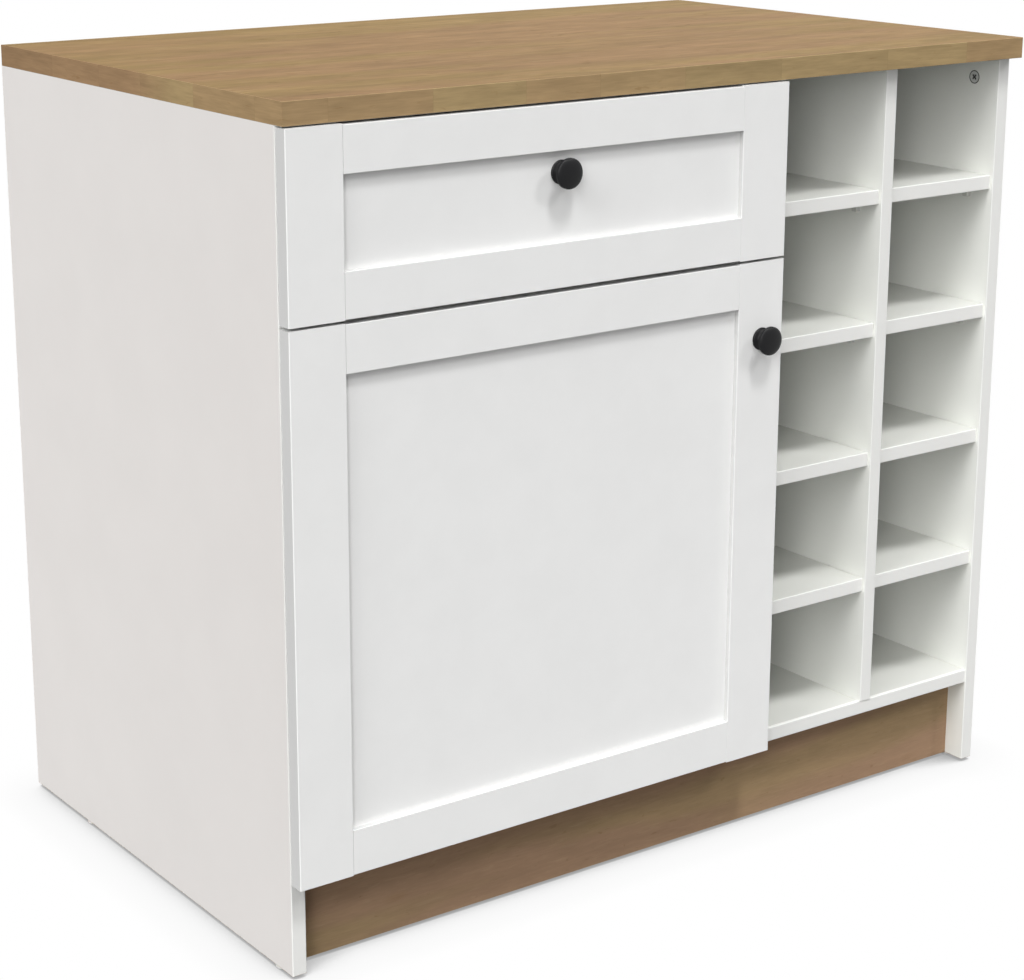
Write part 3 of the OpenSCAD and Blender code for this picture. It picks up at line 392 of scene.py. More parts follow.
# %% Worktop sheet
oak, tree, shader, place = new_finish("oak_laminate_print")
top_low, top_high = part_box("worktop")
wood = use_group(tree, figure, {"Place": place, "Band": 0.10, "Cloud": 0.03, "Streak": 0.008,
                                "Pore": 0.0015})
sheet = oak_colour(tree, wood, spread(tree, wood["Band"], *NOISE_BAND), TOP_PAINTED_SHADE)

axes = axes_of(tree, place)
to_front = math_node(tree, "SUBTRACT", axes["Y"], top_low.y)
to_back = math_node(tree, "SUBTRACT", top_high.y, axes["Y"])
to_left = math_node(tree, "SUBTRACT", axes["X"], top_low.x)
to_right = math_node(tree, "SUBTRACT", top_high.x, axes["X"])
to_edge = math_node(tree, "MINIMUM", math_node(tree, "MINIMUM", to_front, to_back),
                    math_node(tree, "MINIMUM", to_left, to_right))
on_band = math_node(tree, "LESS_THAN", to_edge, BAND_T)
seam = near(tree, to_edge, BAND_T + SEAM_W / 2, SEAM_W / 2)
print("worktop", [round(high - low, 3) for low, high in zip(top_low, top_high)], "m")

# %% Worktop edge band
band_run = math_node(tree, "ADD", axes["X"], axes["Y"])
run_in_blocks = math_node(tree, "DIVIDE", band_run, BLOCK_L)
blocks = add(tree, "ShaderNodeTexVoronoi", {"W": run_in_blocks, "Scale": 1.0},
             voronoi_dimensions="1D").outputs["Color"]
block_parts = add(tree, "ShaderNodeSeparateColor", {0: blocks}).outputs
joint = add(tree, "ShaderNodeTexVoronoi", {"W": run_in_blocks, "Scale": 1.0},
            voronoi_dimensions="1D", feature="DISTANCE_TO_EDGE").outputs["Distance"]
band_place = add(tree, "ShaderNodeCombineXYZ",
                 {"X": band_run, "Y": block_parts[0], "Z": axes["Z"]}).outputs[0]
band_wood = use_group(tree, figure, {"Place": band_place, "Band": 0.05, "Cloud": 0.02, "Streak": 0.006,
                                     "Pore": 0.0015})
left_end = math_node(tree, "LESS_THAN", to_left, BAND_T)
reddish = math_node(tree, "MULTIPLY", left_end, spread(tree, to_front, END_RED_FROM, END_RED_FULL))
block_red = spread(tree, block_parts[1], BLOCK_RED_FROM, BLOCK_RED_FULL, 0.0, BLOCK_RED_SHARE)
redness = math_node(tree, "MAXIMUM", reddish, block_red)
band_base = mix_colour(tree, redness, BAND_OLIVE, BAND_RED)
band_tone = tone_of_marks(tree, band_wood, BAND_DEPTHS)
for level in (between(tree, block_parts[2], *BLOCK_TONES),
              between(tree, reddish, 1.0, END_RED_TONE),
              spread(tree, joint, 0.0, SEAM_W / BLOCK_L, JOINT_TONE, 1.0)):
    band_tone = math_node(tree, "MULTIPLY", band_tone, level)
band_colour = shaded(tree, band_base, band_tone)
band_fleck = spread(tree, band_wood["Fleck"], FLECK_FROM, BAND_FLECK_FULL, 0.0, BAND_FLECK_SHARE)
band_colour = mix_colour(tree, band_fleck, band_colour, OAK_FLECK)

top_colour = mix_colour(tree, on_band, sheet, band_colour)
top_colour = mix_colour(tree, math_node(tree, "MULTIPLY", seam, SEAM_SHARE), top_colour, OAK_FLECK)
under = math_node(tree, "LESS_THAN", axes["Z"], top_low.z + SKIN)
top_colour = mix_colour(tree, under, top_colour, BACKING)
fill(tree, shader, {"Base Color": top_colour, "Specular IOR Level": 0.005})
gloss(tree, shader, wood["Pore"], 0.66, 0.58)
bump(tree, shader, wood["Pore"], "print")
print("worktop finish:", len(tree.nodes), "nodes")

# %% [markdown]
# ## Plinth board
# The plinth carries the same kind of print, calmer and darker, with a few faint knots. Its
# darkness is painted shade, because it lies under the overhang of the fronts. The print's own
# function makes it, with fainter marks and its own painted shade. The knots are the middles of a
# Voronoi pattern, which gives round spots at uneven distances without any list of places.

# %% Plinth finish
# Painted shade: the plinth lies under the overhang of the fronts, so its print is written darker
PLINTH_PAINTED_SHADE = paint(229, 233, 245)
PLINTH_MARKS = 0.6
KNOT_SCALE = (9.0, 9.0, 22.0)
KNOT_CORE, KNOT_RIM, KNOT_SHARE = 0.05, 0.16, 0.22
plinth_board, tree, shader, place = new_finish("plinth_print")
wood = use_group(tree, figure, {"Place": place, "Band": 0.06, "Cloud": 0.025, "Streak": 0.004,
                                "Pore": 0.0015})
knot_place = stretched(tree, place, KNOT_SCALE)
knots = add(tree, "ShaderNodeTexVoronoi", {"Vector": knot_place, "Scale": 1.0}).outputs["Distance"]
knot_share = spread(tree, knots, KNOT_CORE, KNOT_RIM, KNOT_SHARE, 0.0)
pinkness = spread(tree, wood["Band"], *NOISE_BAND)
brown = oak_colour(tree, wood, pinkness, PLINTH_PAINTED_SHADE, PLINTH_MARKS)
brown = mix_colour(tree, knot_share, brown, OAK_FLECK)
fill(tree, shader, {"Base Color": brown, "Roughness": 0.6, "Specular IOR Level": 0.05})
bump(tree, shader, wood["Pore"], "print")
print("plinth finish:", len(tree.nodes), "nodes")

# %% [markdown]
# ## White melamine board
# The carcass boards are chipboard with a warm off-white melamine face. The face has a fine pearl
# and is never quite even in tone. The left side is written a greyer white than the other boards,
# which is painted shade against the strong lamp from the left, and the shelves are written darker,
# because a face that looks up gets more light here. The front edges carry a thin plastic band,
# with a hairline where it meets the face. The rear and the lower edges are left bare on such
# cabinets, so the pressed chips show there. Face, band and bare edge are told apart by their
# place, so all boards share one function, and each kind gives it its own paint and the place of
# its front edge.

# %% Paints of the boards
BOARD_WHITE = paint(243, 244, 239)
BOARD_CLOUD = paint(241, 242, 237)
BAND_WHITE = paint(243, 243, 240)
HAIRLINE = paint(176, 172, 166)
HAIRLINE_SHARE = 0.25
MATT = 0.35
FACE_ROUGH, CHIP_ROUGH = 0.48, 0.90
CHIP_LIGHT = paint(196, 168, 126)
CHIP_DARK = paint(134, 104, 70)
CHIP_SCALE = (420.0, 420.0, 260.0)
# The left side is written greyer, as painted shade against the strong lamp from the left
SIDE_SHADED_WHITE = paint(231, 227, 224)
SIDE_SHADED_CLOUD = paint(229, 225, 222)
SHELF_WHITE = paint(220, 221, 216)
SHELF_CLOUD = paint(218, 219, 214)
print("chips of about", round(1000 / CHIP_SCALE[0], 1), "mm")

# %% Board finishes
def chip_colour(tree, place):
    """Pressed chips, each with its own tone."""
    cells = add(tree, "ShaderNodeTexVoronoi", {"Vector": stretched(tree, place, CHIP_SCALE)})
    tone = add(tree, "ShaderNodeSeparateColor", {0: cells.outputs["Color"]}).outputs[0]
    return ramp(tree, tone, [(0.1, CHIP_DARK), (0.9, CHIP_LIGHT)])


def board_finish(name, front_y, white=BOARD_WHITE, cloud=BOARD_CLOUD):
    """Melamine board whose front edge lies at front_y, bare at the carcass's rear and lower edges."""
    material, tree, shader, place = new_finish(name)
    fine = use_group(tree, pearl, {"Place": place, "Grain": 0.0011, "Cloud": 0.09})
    axes = axes_of(tree, place)
    face = clouded(tree, fine, NOISE_CLOUD, white, cloud)
    behind = math_node(tree, "SUBTRACT", axes["Y"], front_y)
    face = mix_colour(tree, math_node(tree, "LESS_THAN", behind, BAND_T), face, BAND_WHITE)
    line = near(tree, behind, BAND_T, SEAM_W / 2)
    face = mix_colour(tree, math_node(tree, "MULTIPLY", line, HAIRLINE_SHARE), face, HAIRLINE)
    bare = math_node(tree, "MAXIMUM", math_node(tree, "GREATER_THAN", axes["Y"], carcass_high.y - SKIN),
                     math_node(tree, "LESS_THAN", axes["Z"], carcass_low.z + SKIN))
    face = mix_colour(tree, bare, face, chip_colour(tree, place))
    rough = between(tree, bare, FACE_ROUGH, CHIP_ROUGH)
    fill(tree, shader, {"Base Color": face, "Roughness": rough, "Specular IOR Level": MATT})
    bump(tree, shader, fine["Height"], "melamine")
    return material


# The carcass ends where its left side does
carcass_low, carcass_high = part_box("left_side_panel")
print("boards are bare behind", round(carcass_high.y, 4), "and under", round(carcass_low.z, 4))

# %% Boards of the carcass and the drawer
panel_white = board_finish("panel_melamine", carcass_low.y)
side_shaded_white = board_finish("side_melamine_painted_shade", carcass_low.y, SIDE_SHADED_WHITE, SIDE_SHADED_CLOUD)
shelf_white = board_finish("shelf_melamine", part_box("rack_shelf_1")[0].y, SHELF_WHITE, SHELF_CLOUD)

# The drawer takes the shelves' darker white, as painted shade, so its inside doesn't burn out
drawer_board = even_finish("drawer_melamine", 0.0011, 0.07, (SHELF_WHITE, SHELF_CLOUD), "melamine",
                           {"Roughness": 0.5}, span=NOISE_CLOUD)
print("boards:", panel_white.name, side_shaded_white.name, shelf_white.name, drawer_board.name)

# %% [markdown]
# ## White foil on the fronts
# Door and drawer front are framed from fibreboard that is wrapped in a matt white foil. It is a
# touch cooler than the carcass, softer in gloss, and has a very faint tooth. On the edges of the
# stiles and rails, where the foil is drawn round, shade is painted in: they are written greyer so
# they don't burn out under the steep lamp. So the frame has a finish of its own that knows how far
# behind the front face a point lies.

# %% Foil finishes
FOIL_WHITE = paint(246, 246, 245)
FOIL_CLOUD = paint(244, 244, 243)
# Painted shade on the edges of the stiles and rails
FOIL_EDGE_SHADE = paint(209, 209, 208)
EDGE_FROM, EDGE_FULL = 0.0003, 0.0010


def foil_finish(name, edge=None):
    """Matt foil, with a greyer colour as painted shade on its edges if it is wrapped round a piece of the
    frame.
    """
    material, tree, shader, place = new_finish(name)
    fine = use_group(tree, pearl, {"Place": place, "Grain": 0.0007, "Cloud": 0.05})
    face = clouded(tree, fine, NOISE_CLOUD, FOIL_WHITE, FOIL_CLOUD)
    if edge:
        front, back = (corner.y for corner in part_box("door_top_rail"))
        depth = axes_of(tree, place)["Y"]
        on_shaded_edge = math_node(tree, "MULTIPLY", spread(tree, depth, front + EDGE_FROM, front + EDGE_FULL),
                            math_node(tree, "LESS_THAN", depth, back - EDGE_FROM))
        face = mix_colour(tree, on_shaded_edge, face, edge)
    fill(tree, shader, {"Base Color": face, "Specular IOR Level": MATT})
    gloss(tree, shader, fine["Height"], 0.46, 0.54)
    bump(tree, shader, fine["Height"], "foil")
    return material


panel_foil = foil_finish("panel_foil")
frame_foil = foil_finish("frame_foil", FOIL_EDGE_SHADE)
print("foils:", panel_foil.name, frame_foil.name)

# %% [markdown]
# ## Hardboard
# The backs and the drawer bottom are thin hardboard, painted white on the side that is seen and
# bare brown on the other, where the pressed fibres show. A coat of paint is too thin to model, so
# the finish changes at a plane just inside the brown face. The fibres are noise that is drawn out
# along one way.

# %% Hardboard finish
FIBRE_LIGHT = paint(158, 124, 86)
FIBRE_DARK = paint(120, 90, 60)
# The white paint is written darker, as painted shade, so the inside of the drawer doesn't burn out
PAINTED_AND_SHADED = paint(212, 211, 206)
CLOUDING = 0.4
FIBRE_SCALE = (260.0, 260.0, 90.0)
PAINT_T = 0.0005
PAINTED_ROUGH, FIBRE_ROUGH = 0.5, 0.85


def hardboard_finish(name, axis, limit, inside_above):
    """Hardboard that is painted on one side of a limit along the axis and bare beyond it."""
    material, tree, shader, place = new_finish(name)
    fine = use_group(tree, pearl, {"Place": place, "Grain": 0.0015, "Cloud": 0.02})
    pressed = noise(tree, stretched(tree, place, FIBRE_SCALE), detail=4.0, roughness=0.7)
    fibres = ramp(tree, pressed, [(0.3, FIBRE_DARK), (0.7, FIBRE_LIGHT)])
    along = axes_of(tree, place)[axis]
    bare = math_node(tree, "LESS_THAN" if inside_above else "GREATER_THAN", along, limit)
    clouds = spread(tree, fine["Cloud"], *NOISE_WIDE, 0.0, CLOUDING)
    face = mix_colour(tree, bare, mix_colour(tree, clouds, PAINTED_AND_SHADED, SHELF_CLOUD), fibres)
    rough = between(tree, bare, PAINTED_ROUGH, FIBRE_ROUGH)
    fill(tree, shader, {"Base Color": face, "Roughness": rough})
    bump(tree, shader, fine["Height"], "fibre")
    return material


back_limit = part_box("rack_back")[1].y - PAINT_T
back_board = hardboard_finish("back_hardboard", "Y", back_limit, False)
bottom_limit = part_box("drawer_bottom")[0].z + PAINT_T
drawer_hardboard = hardboard_finish("drawer_hardboard", "Z", bottom_limit, True)
print("hardboard is bare behind", round(back_limit, 4), "and under", round(bottom_limit, 4))

# %% [markdown]
# ## Metals
# The knobs are cast metal under a nearly black satin paint. The cams, bolts and screws are zinc,
# the hinges are pressed steel with a nickel plate, and the runners have a white baked coat. The
# bare metals differ little in tone, so gloss does most of the work. Shadow falls in the gap around
# each cam and in its cross slot. Both are far too fine to shade well by themselves, so the shade
# is painted in, darker by how far a point lies from the middle of its cam.

# %% Painted metal
knob_paint = even_finish("satin_black", 0.0005, 0.01, (paint(21, 21, 22), paint(18, 18, 20)),
                         "paint", {"Specular IOR Level": 0.18}, rough=(0.36, 0.44))
white_coat = even_finish("white_baked_coat", 0.0016, 0.04, (paint(236, 235, 231), paint(229, 228, 223)),
                         "coat", {"Roughness": 0.33, "Coat Weight": 0.3})
print("painted metal:", knob_paint.name, white_coat.name)

# %% Bare metal
LINE_STRETCH = 30


def metal_finish(name, bright, dull, rough, line, metallic=1.0):
    """Metal with fine lines, cloudy between two tones, its roughness between two values."""
    material, tree, shader, place = new_finish(name)
    brushed = use_group(tree, lines, {"Place": place, "Line": line, "Length": line * LINE_STRETCH})
    spots = use_group(tree, pearl, {"Place": place, "Grain": 0.002, "Cloud": 0.012})
    face = clouded(tree, spots, NOISE_WIDE, bright, dull)
    fill(tree, shader, {"Base Color": face, "Metallic": metallic})
    gloss(tree, shader, brushed["Height"], *rough)
    bump(tree, shader, brushed["Height"], "metal")
    return material


zinc = metal_finish("zinc_plate", paint(198, 200, 200), paint(170, 172, 172),
                    rough=(0.30, 0.46), line=0.0004)
cast_zinc = metal_finish("cast_zinc", paint(220, 221, 219), paint(206, 207, 205),
                         rough=(0.46, 0.58), line=0.0006, metallic=0.2)
nickel = metal_finish("nickel_plate", paint(214, 212, 206), paint(196, 194, 188),
                      rough=(0.18, 0.30), line=0.0005)
print("metals:", zinc.name, cast_zinc.name, nickel.name)

# %% Rim and cross of the cams
# The cams of the side panels lie in two rows, so their middles follow from the box of all cams
CAM_R, RIM_W, SLOT_HALF, SLOT_REACH = 0.0075, 0.0011, 0.0009, 0.0036
# Painted shade in the gap round each cam and in its cross slot
SHADOWED = paint(74, 74, 72)
cams_low, cams_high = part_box("cams")
tree = cast_zinc.node_tree
shader = tree.nodes["Principled BSDF"]
bare_zinc = shader.inputs["Base Color"].links[0].from_socket
axes = axes_of(tree, add(tree, "ShaderNodeTexCoord").outputs["Object"])
from_middle = math_node(tree, "SUBTRACT", axes["Y"], (cams_low.y + cams_high.y) / 2)
aside = math_node(tree, "SUBTRACT", math_node(tree, "ABSOLUTE", from_middle),
                  (cams_high.y - cams_low.y) / 2 - CAM_R)
above = math_node(tree, "SUBTRACT", axes["Z"], cams_high.z - CAM_R)
outwards = add(tree, "ShaderNodeVectorMath",
               {0: add(tree, "ShaderNodeCombineXYZ", {"X": aside, "Y": above}).outputs[0]},
               operation="LENGTH").outputs["Value"]
cam_rim = math_node(tree, "MULTIPLY", math_node(tree, "GREATER_THAN", outwards, CAM_R - RIM_W),
                    math_node(tree, "LESS_THAN", outwards, CAM_R + RIM_W))
slants = [math_node(tree, "ABSOLUTE", math_node(tree, kind, aside, above)) for kind in ("ADD", "SUBTRACT")]
in_slot = math_node(tree, "LESS_THAN", math_node(tree, "MINIMUM", *slants), SLOT_HALF * math.sqrt(2))
cross = math_node(tree, "MULTIPLY", in_slot, math_node(tree, "LESS_THAN", outwards, SLOT_REACH))
shadowed = math_node(tree, "MAXIMUM", cam_rim, cross)
fill(tree, shader, {"Base Color": mix_colour(tree, shadowed, bare_zinc, SHADOWED)})
print("cams lie between", round(cams_low.y, 4), "and", round(cams_high.y, 4))

# %% [markdown]
# ## Moulded plastic and beech
# Shelf supports, glides, rollers and buffers are moulded. Light enters such plastic a little, which
# softens its shadows, so it gets a small share of subsurface light. The dowels are plain beech, and
# the wood figure of the worktop serves for them too, turned so that it runs along the dowel.

# %% Plastic and beech finishes
white_plastic = even_finish("moulded_white", 0.0006, 0.008, (paint(226, 226, 222), paint(218, 218, 213)),
                            "plastic", {"Subsurface Weight": 0.08, "Subsurface Scale": 0.002},
                            rough=(0.32, 0.44))

BEECH_DARK = paint(186, 150, 104)
BEECH_LIGHT = paint(214, 182, 138)
beech, tree, shader, place = new_finish("beech_dowel")
beech_place = add(tree, "ShaderNodeVectorRotate", {"Vector": place, "Angle": math.radians(90)},
                  rotation_type="Y_AXIS").outputs[0]
wood = use_group(tree, figure, {"Place": beech_place, "Band": 0.02, "Cloud": 0.006, "Streak": 0.003,
                                "Pore": 0.0008})
beech_face = ramp(tree, wood["Streak"], [(0.3, BEECH_DARK), (0.7, BEECH_LIGHT)])
fill(tree, shader, {"Base Color": beech_face, "Roughness": 0.7})
bump(tree, shader, wood["Pore"], "beech")
print("finishes:", len(bpy.data.materials))

# %% [markdown]
# ## Give the pieces their finishes
# The frame's pieces keep their shape and place. Each only swaps its plain material for a finish.
# One table says which pieces share a finish, so a change of mind takes one word.

# %% Dress the frame
FINISHES = {
    oak: ["worktop"],
    side_shaded_white: ["left_side_panel"],
    panel_white: ["partition_panel", "right_side_panel", "rack_divider", "drawer_rail",
                  "cupboard_shelf"],
    shelf_white: ["bottom_panel"] + [f"rack_shelf_{number}" for number in range(1, 9)],
    plinth_board: ["front_plinth", "rear_plinth"],
    back_board: ["cupboard_back", "rack_back"],
    drawer_hardboard: ["drawer_bottom"],
    drawer_board: ["drawer_left_side", "drawer_right_side", "drawer_box_front", "drawer_box_back"],
    frame_foil: ["door_hinge_stile", "door_knob_stile", "door_top_rail", "door_bottom_rail",
                 "drawer_left_stile", "drawer_right_stile", "drawer_top_rail", "drawer_bottom_rail"],
    panel_foil: ["door_panel", "drawer_panel"],
    knob_paint: ["door_knob", "drawer_knob"],
    cast_zinc: ["cams"],
    zinc: ["cam_bolts", "connecting_screws", "door_knob_screw", "drawer_knob_screw",
           "drawer_front_screws"],
    nickel: ["hinge_cups", "hinge_links", "hinge_arms", "hinge_plates"],
    white_coat: ["cabinet_runner_left", "cabinet_runner_right", "drawer_runner_left",
                 "drawer_runner_right"],
    white_plastic: ["shelf_supports", "floor_glides", "cabinet_rollers", "drawer_rollers",
                    "door_buffers", "drawer_buffers"],
    beech: ["dowels"],
}
for material, names in FINISHES.items():
    for name in names:
        slots = nodes[name].data.materials
        slots.clear()
        slots.append(material)
dressed = {name for names in FINISHES.values() for name in names}
print("dressed", len(dressed), "of", len(nodes))

# %% [markdown]
# ## Screws
# A cupboard like this is held by screws of a few sizes, and all of them have the same make: a head
# with a cross recess, a shank, a rolled thread and a point. That is a rule with numbers in it, so
# one tree of geometry nodes makes them all. The tree builds one screw that points down, cuts the
# cross with a boolean, winds the thread along a spiral, and sets a copy on every point of a small
# mesh. Each point says which way its head looks, and each copy is turned by a random angle, because
# nobody lines up the slots.

# %% Sizes of a screw
# A pan-head screw for 4 mm holes, in metres
PAN_SCREW = {"Head Radius": 0.0040, "Foot Radius": 0.0038, "Crown Radius": 0.0032,
             "Head Height": 0.0024, "Shank Radius": 0.0016, "Shank Length": 0.020,
             "Tip Length": 0.0030, "Thread Depth": 0.0004, "Thread Pitch": 0.0014,
             "Recess Width": 0.0044, "Recess Depth": 0.0013}
CROWN_SHARE = 0.3
SLOT_SHARE = 0.24
TIP_R = 0.0002
HEAD_SIDES = 40
SHANK_SIDES = 20
RIDGE_SIDES = 4
SHARP_ANGLE = math.radians(32)
TURN_SEED = 7
print("thread turns:", round(PAN_SCREW["Shank Length"] / PAN_SCREW["Thread Pitch"], 1))

# %% Screw tree
screw_tree = bpy.data.node_groups.new("cross_recess_screw", "GeometryNodeTree")
screw_tree.interface.new_socket("Points", in_out="INPUT", socket_type="NodeSocketGeometry")
SCREW_SOCKETS = {}
for size_name, size in PAN_SCREW.items():
    socket = screw_tree.interface.new_socket(size_name, in_out="INPUT", socket_type="NodeSocketFloat")
    socket.default_value = size
    SCREW_SOCKETS[size_name] = socket.identifier
SCREW_SOCKETS["Finish"] = screw_tree.interface.new_socket(
    "Finish", in_out="INPUT", socket_type="NodeSocketMaterial").identifier
screw_tree.interface.new_socket("Screws", in_out="OUTPUT", socket_type="NodeSocketGeometry")
given = screw_tree.nodes.new("NodeGroupInput").outputs
print("the screw tree takes", len(SCREW_SOCKETS), "sizes and finishes")

# %% Blank of a screw
def lifted(mesh, height):
    """The mesh moved to a height along the screw."""
    along = add(screw_tree, "ShaderNodeCombineXYZ", {"Z": height}).outputs[0]
    return add(screw_tree, "GeometryNodeTransform", {"Geometry": mesh, "Translation": along}).outputs[0]


def taper(sides, foot, top, height):
    """A straight or tapered round that stands on its foot."""
    return add(screw_tree, "GeometryNodeMeshCone", {"Vertices": sides, "Radius Bottom": foot,
                                                    "Radius Top": top, "Depth": height}).outputs["Mesh"]


def united(solids):
    """The solids made into one by a boolean."""
    node = add(screw_tree, "GeometryNodeMeshBoolean", operation="UNION", solver="EXACT")
    for solid in solids:
        screw_tree.links.new(solid, node.inputs["Mesh 2"])
    return node.outputs["Mesh"]


crown_h = math_node(screw_tree, "MULTIPLY", given["Head Height"], CROWN_SHARE)
foot_h = math_node(screw_tree, "SUBTRACT", given["Head Height"], crown_h)
under_head = math_node(screw_tree, "MULTIPLY", given["Head Height"], -1.0)
shank_end = math_node(screw_tree, "SUBTRACT", under_head, given["Shank Length"])
tip_end = math_node(screw_tree, "SUBTRACT", shank_end, given["Tip Length"])
solids = [
    lifted(taper(HEAD_SIDES, given["Head Radius"], given["Crown Radius"], crown_h),
           math_node(screw_tree, "MULTIPLY", crown_h, -1.0)),
    lifted(taper(HEAD_SIDES, given["Foot Radius"], given["Head Radius"], foot_h), under_head),
    lifted(taper(SHANK_SIDES, given["Shank Radius"], given["Shank Radius"], given["Shank Length"]),
           shank_end),
    lifted(taper(SHANK_SIDES, TIP_R, given["Shank Radius"], given["Tip Length"]), tip_end),
]
blank = united(solids)
print("screw blank from", len(solids), "rounds")

# %% Recess and thread
slot_w = math_node(screw_tree, "MULTIPLY", given["Recess Width"], SLOT_SHARE)
# The cutters are centred on the top of the head, so they are twice as high as the recess is deep
slot_h = math_node(screw_tree, "MULTIPLY", given["Recess Depth"], 2.0)
cutters = []
for size_x, size_y in ((given["Recess Width"], slot_w), (slot_w, given["Recess Width"])):
    size = add(screw_tree, "ShaderNodeCombineXYZ", {"X": size_x, "Y": size_y, "Z": slot_h}).outputs[0]
    cutters.append(add(screw_tree, "GeometryNodeMeshCube", {"Size": size}).outputs["Mesh"])
cut = add(screw_tree, "GeometryNodeMeshBoolean", {"Mesh 1": blank, "Mesh 2": united(cutters)},
          operation="DIFFERENCE", solver="EXACT").outputs["Mesh"]

turns = math_node(screw_tree, "DIVIDE", given["Shank Length"], given["Thread Pitch"])
spiral = add(screw_tree, "GeometryNodeCurveSpiral",
             {"Resolution": SHANK_SIDES, "Rotations": turns, "Start Radius": given["Shank Radius"],
              "End Radius": given["Shank Radius"], "Height": given["Shank Length"]}).outputs[0]
ridge = add(screw_tree, "GeometryNodeCurvePrimitiveCircle",
            {"Resolution": RIDGE_SIDES, "Radius": given["Thread Depth"]}, mode="RADIUS").outputs["Curve"]
thread = add(screw_tree, "GeometryNodeCurveToMesh",
             {"Curve": spiral, "Profile Curve": ridge, "Fill Caps": True}).outputs[0]
whole = add(screw_tree, "GeometryNodeJoinGeometry")
for mesh in (cut, lifted(thread, shank_end)):
    screw_tree.links.new(mesh, whole.inputs[0])
smooth = add(screw_tree, "GeometryNodeSetShadeSmooth", {"Geometry": whole.outputs[0]},
             domain="FACE").outputs[0]
bend = add(screw_tree, "GeometryNodeInputMeshEdgeAngle").outputs["Unsigned Angle"]
sharp = add(screw_tree, "FunctionNodeCompare", {"A": bend, "B": SHARP_ANGLE},
            data_type="FLOAT", operation="GREATER_THAN").outputs[0]
screw = add(screw_tree, "GeometryNodeSetShadeSmooth",
            {"Geometry": smooth, "Selection": sharp, "Shade Smooth": False}, domain="EDGE").outputs[0]
print("recess from", len(cutters), "slots")

# %% A copy on every point
# A cross looks the same after a quarter turn, so a random angle up to that is enough
QUARTER_TURN = math.pi / 2
aim = add(screw_tree, "GeometryNodeInputNamedAttribute", {"Name": "aim"},
          data_type="FLOAT_VECTOR").outputs["Attribute"]
upright = add(screw_tree, "FunctionNodeAlignRotationToVector", {"Vector": aim}, axis="Z").outputs[0]
angle = add(screw_tree, "FunctionNodeRandomValue", {3: QUARTER_TURN, "Seed": TURN_SEED},
            data_type="FLOAT").outputs[1]
turn = add(screw_tree, "ShaderNodeCombineXYZ", {"Z": angle}).outputs[0]
rotation = add(screw_tree, "FunctionNodeRotateRotation", {"Rotation": upright, "Rotate By": turn},
               rotation_space="LOCAL").outputs[0]
copies = add(screw_tree, "GeometryNodeInstanceOnPoints",
             {"Points": given["Points"], "Instance": screw, "Rotation": rotation}).outputs[0]
real = add(screw_tree, "GeometryNodeRealizeInstances", {"Geometry": copies}).outputs[0]
finished = add(screw_tree, "GeometryNodeSetMaterial", {"Geometry": real, "Material": given["Finish"]})
add(screw_tree, "NodeGroupOutput", {0: finished.outputs[0]})
print("screw tree:", len(screw_tree.nodes), "nodes")

# %% [markdown]
# ## Put the screws in their places
# The knob screws and the screws of the drawer front stand in the frame as plain solids, so their
# places are read from there and the new screws replace them. The hinges and runners have more
# screws, whose places follow from the boxes of those fittings. The tree's result is turned into a
# plain mesh, one for each moving body, before it is told which body it rides on.

# %% Read the places of plain screws
MERGE = 1e-6


def loose_parts(name):
    """Lowest and highest corner of each separate solid of a node, from a merged copy of its mesh."""
    copy = bmesh.new()
    copy.from_mesh(nodes[name].data)
    bmesh.ops.remove_doubles(copy, verts=copy.verts, dist=MERGE)
    left = set(copy.verts)
    corners = []
    while left:
        reached, waiting = [], [left.pop()]
        while waiting:
            vert = waiting.pop()
            reached.append(vert.co.copy())
            touching = {edge.other_vert(vert) for edge in vert.link_edges} & left
            left -= touching
            waiting.extend(touching)
        corners.append((Vector([min(co[axis] for co in reached) for axis in range(3)]),
                        Vector([max(co[axis] for co in reached) for axis in range(3)])))
    copy.free()
    return corners


print("screws of the drawer front:", len(loose_parts("drawer_front_screws")))

# %% Turn the tree's screws into a plain mesh
def drive_screws(name, places, body, sizes, finish):
    """Screws whose heads end at the given places and look along the given ways, as one plain mesh."""
    points = bpy.data.meshes.new(name + "_points")
    points.from_pydata([place for place, way in places], [], [])
    aims = points.attributes.new("aim", "FLOAT_VECTOR", "POINT")
    for entry, (place, way) in zip(aims.data, places):
        entry.vector = way
    holder = new_object(name + "_points", points)
    modifier = holder.modifiers.new("screws", "NODES")
    modifier.node_group = screw_tree
    for key, value in {**PAN_SCREW, **sizes, "Finish": finish}.items():
        modifier[SCREW_SOCKETS[key]] = value
    bpy.context.view_layer.update()
    evaluated = holder.evaluated_get(bpy.context.evaluated_depsgraph_get())
    plain_mesh = bpy.data.meshes.new_from_object(evaluated)
    bpy.data.objects.remove(holder)
    piece = new_object(name, plain_mesh)
    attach(piece, body)
    print(name + ":", len(places), "screws,", len(plain_mesh.polygons), "faces")
    return piece

# %% Screws that replace plain ones
INWARDS = Vector((0, 1, 0))
SOLID_SCREWS = {"door_knob_screw": "door", "drawer_knob_screw": "drawer", "drawer_front_screws": "drawer"}
for node_name, body in SOLID_SCREWS.items():
    parts = loose_parts(node_name)
    places = [(((low.x + high.x) / 2, high.y, (low.z + high.z) / 2), INWARDS) for low, high in parts]
    low, high = parts[0]
    shank = high.y - low.y - PAN_SCREW["Head Height"] - PAN_SCREW["Tip Length"]
    piece = drive_screws(node_name + "_cut", places, body, {"Shank Length": shank}, zinc)
    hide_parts(node_name)

# %% [markdown]
# ## Screws of the hinges and runners
# Each hinge plate has two stout screws into the side panel, each cup two small ones into the door,
# and each arm two set screws that the fitter turns to align the door. The runners are held by
# countersunk screws, because a roller and its axle pass close over them. All these heads lie on
# fittings that the frame gives as plain shapes, so they are added and nothing is replaced.

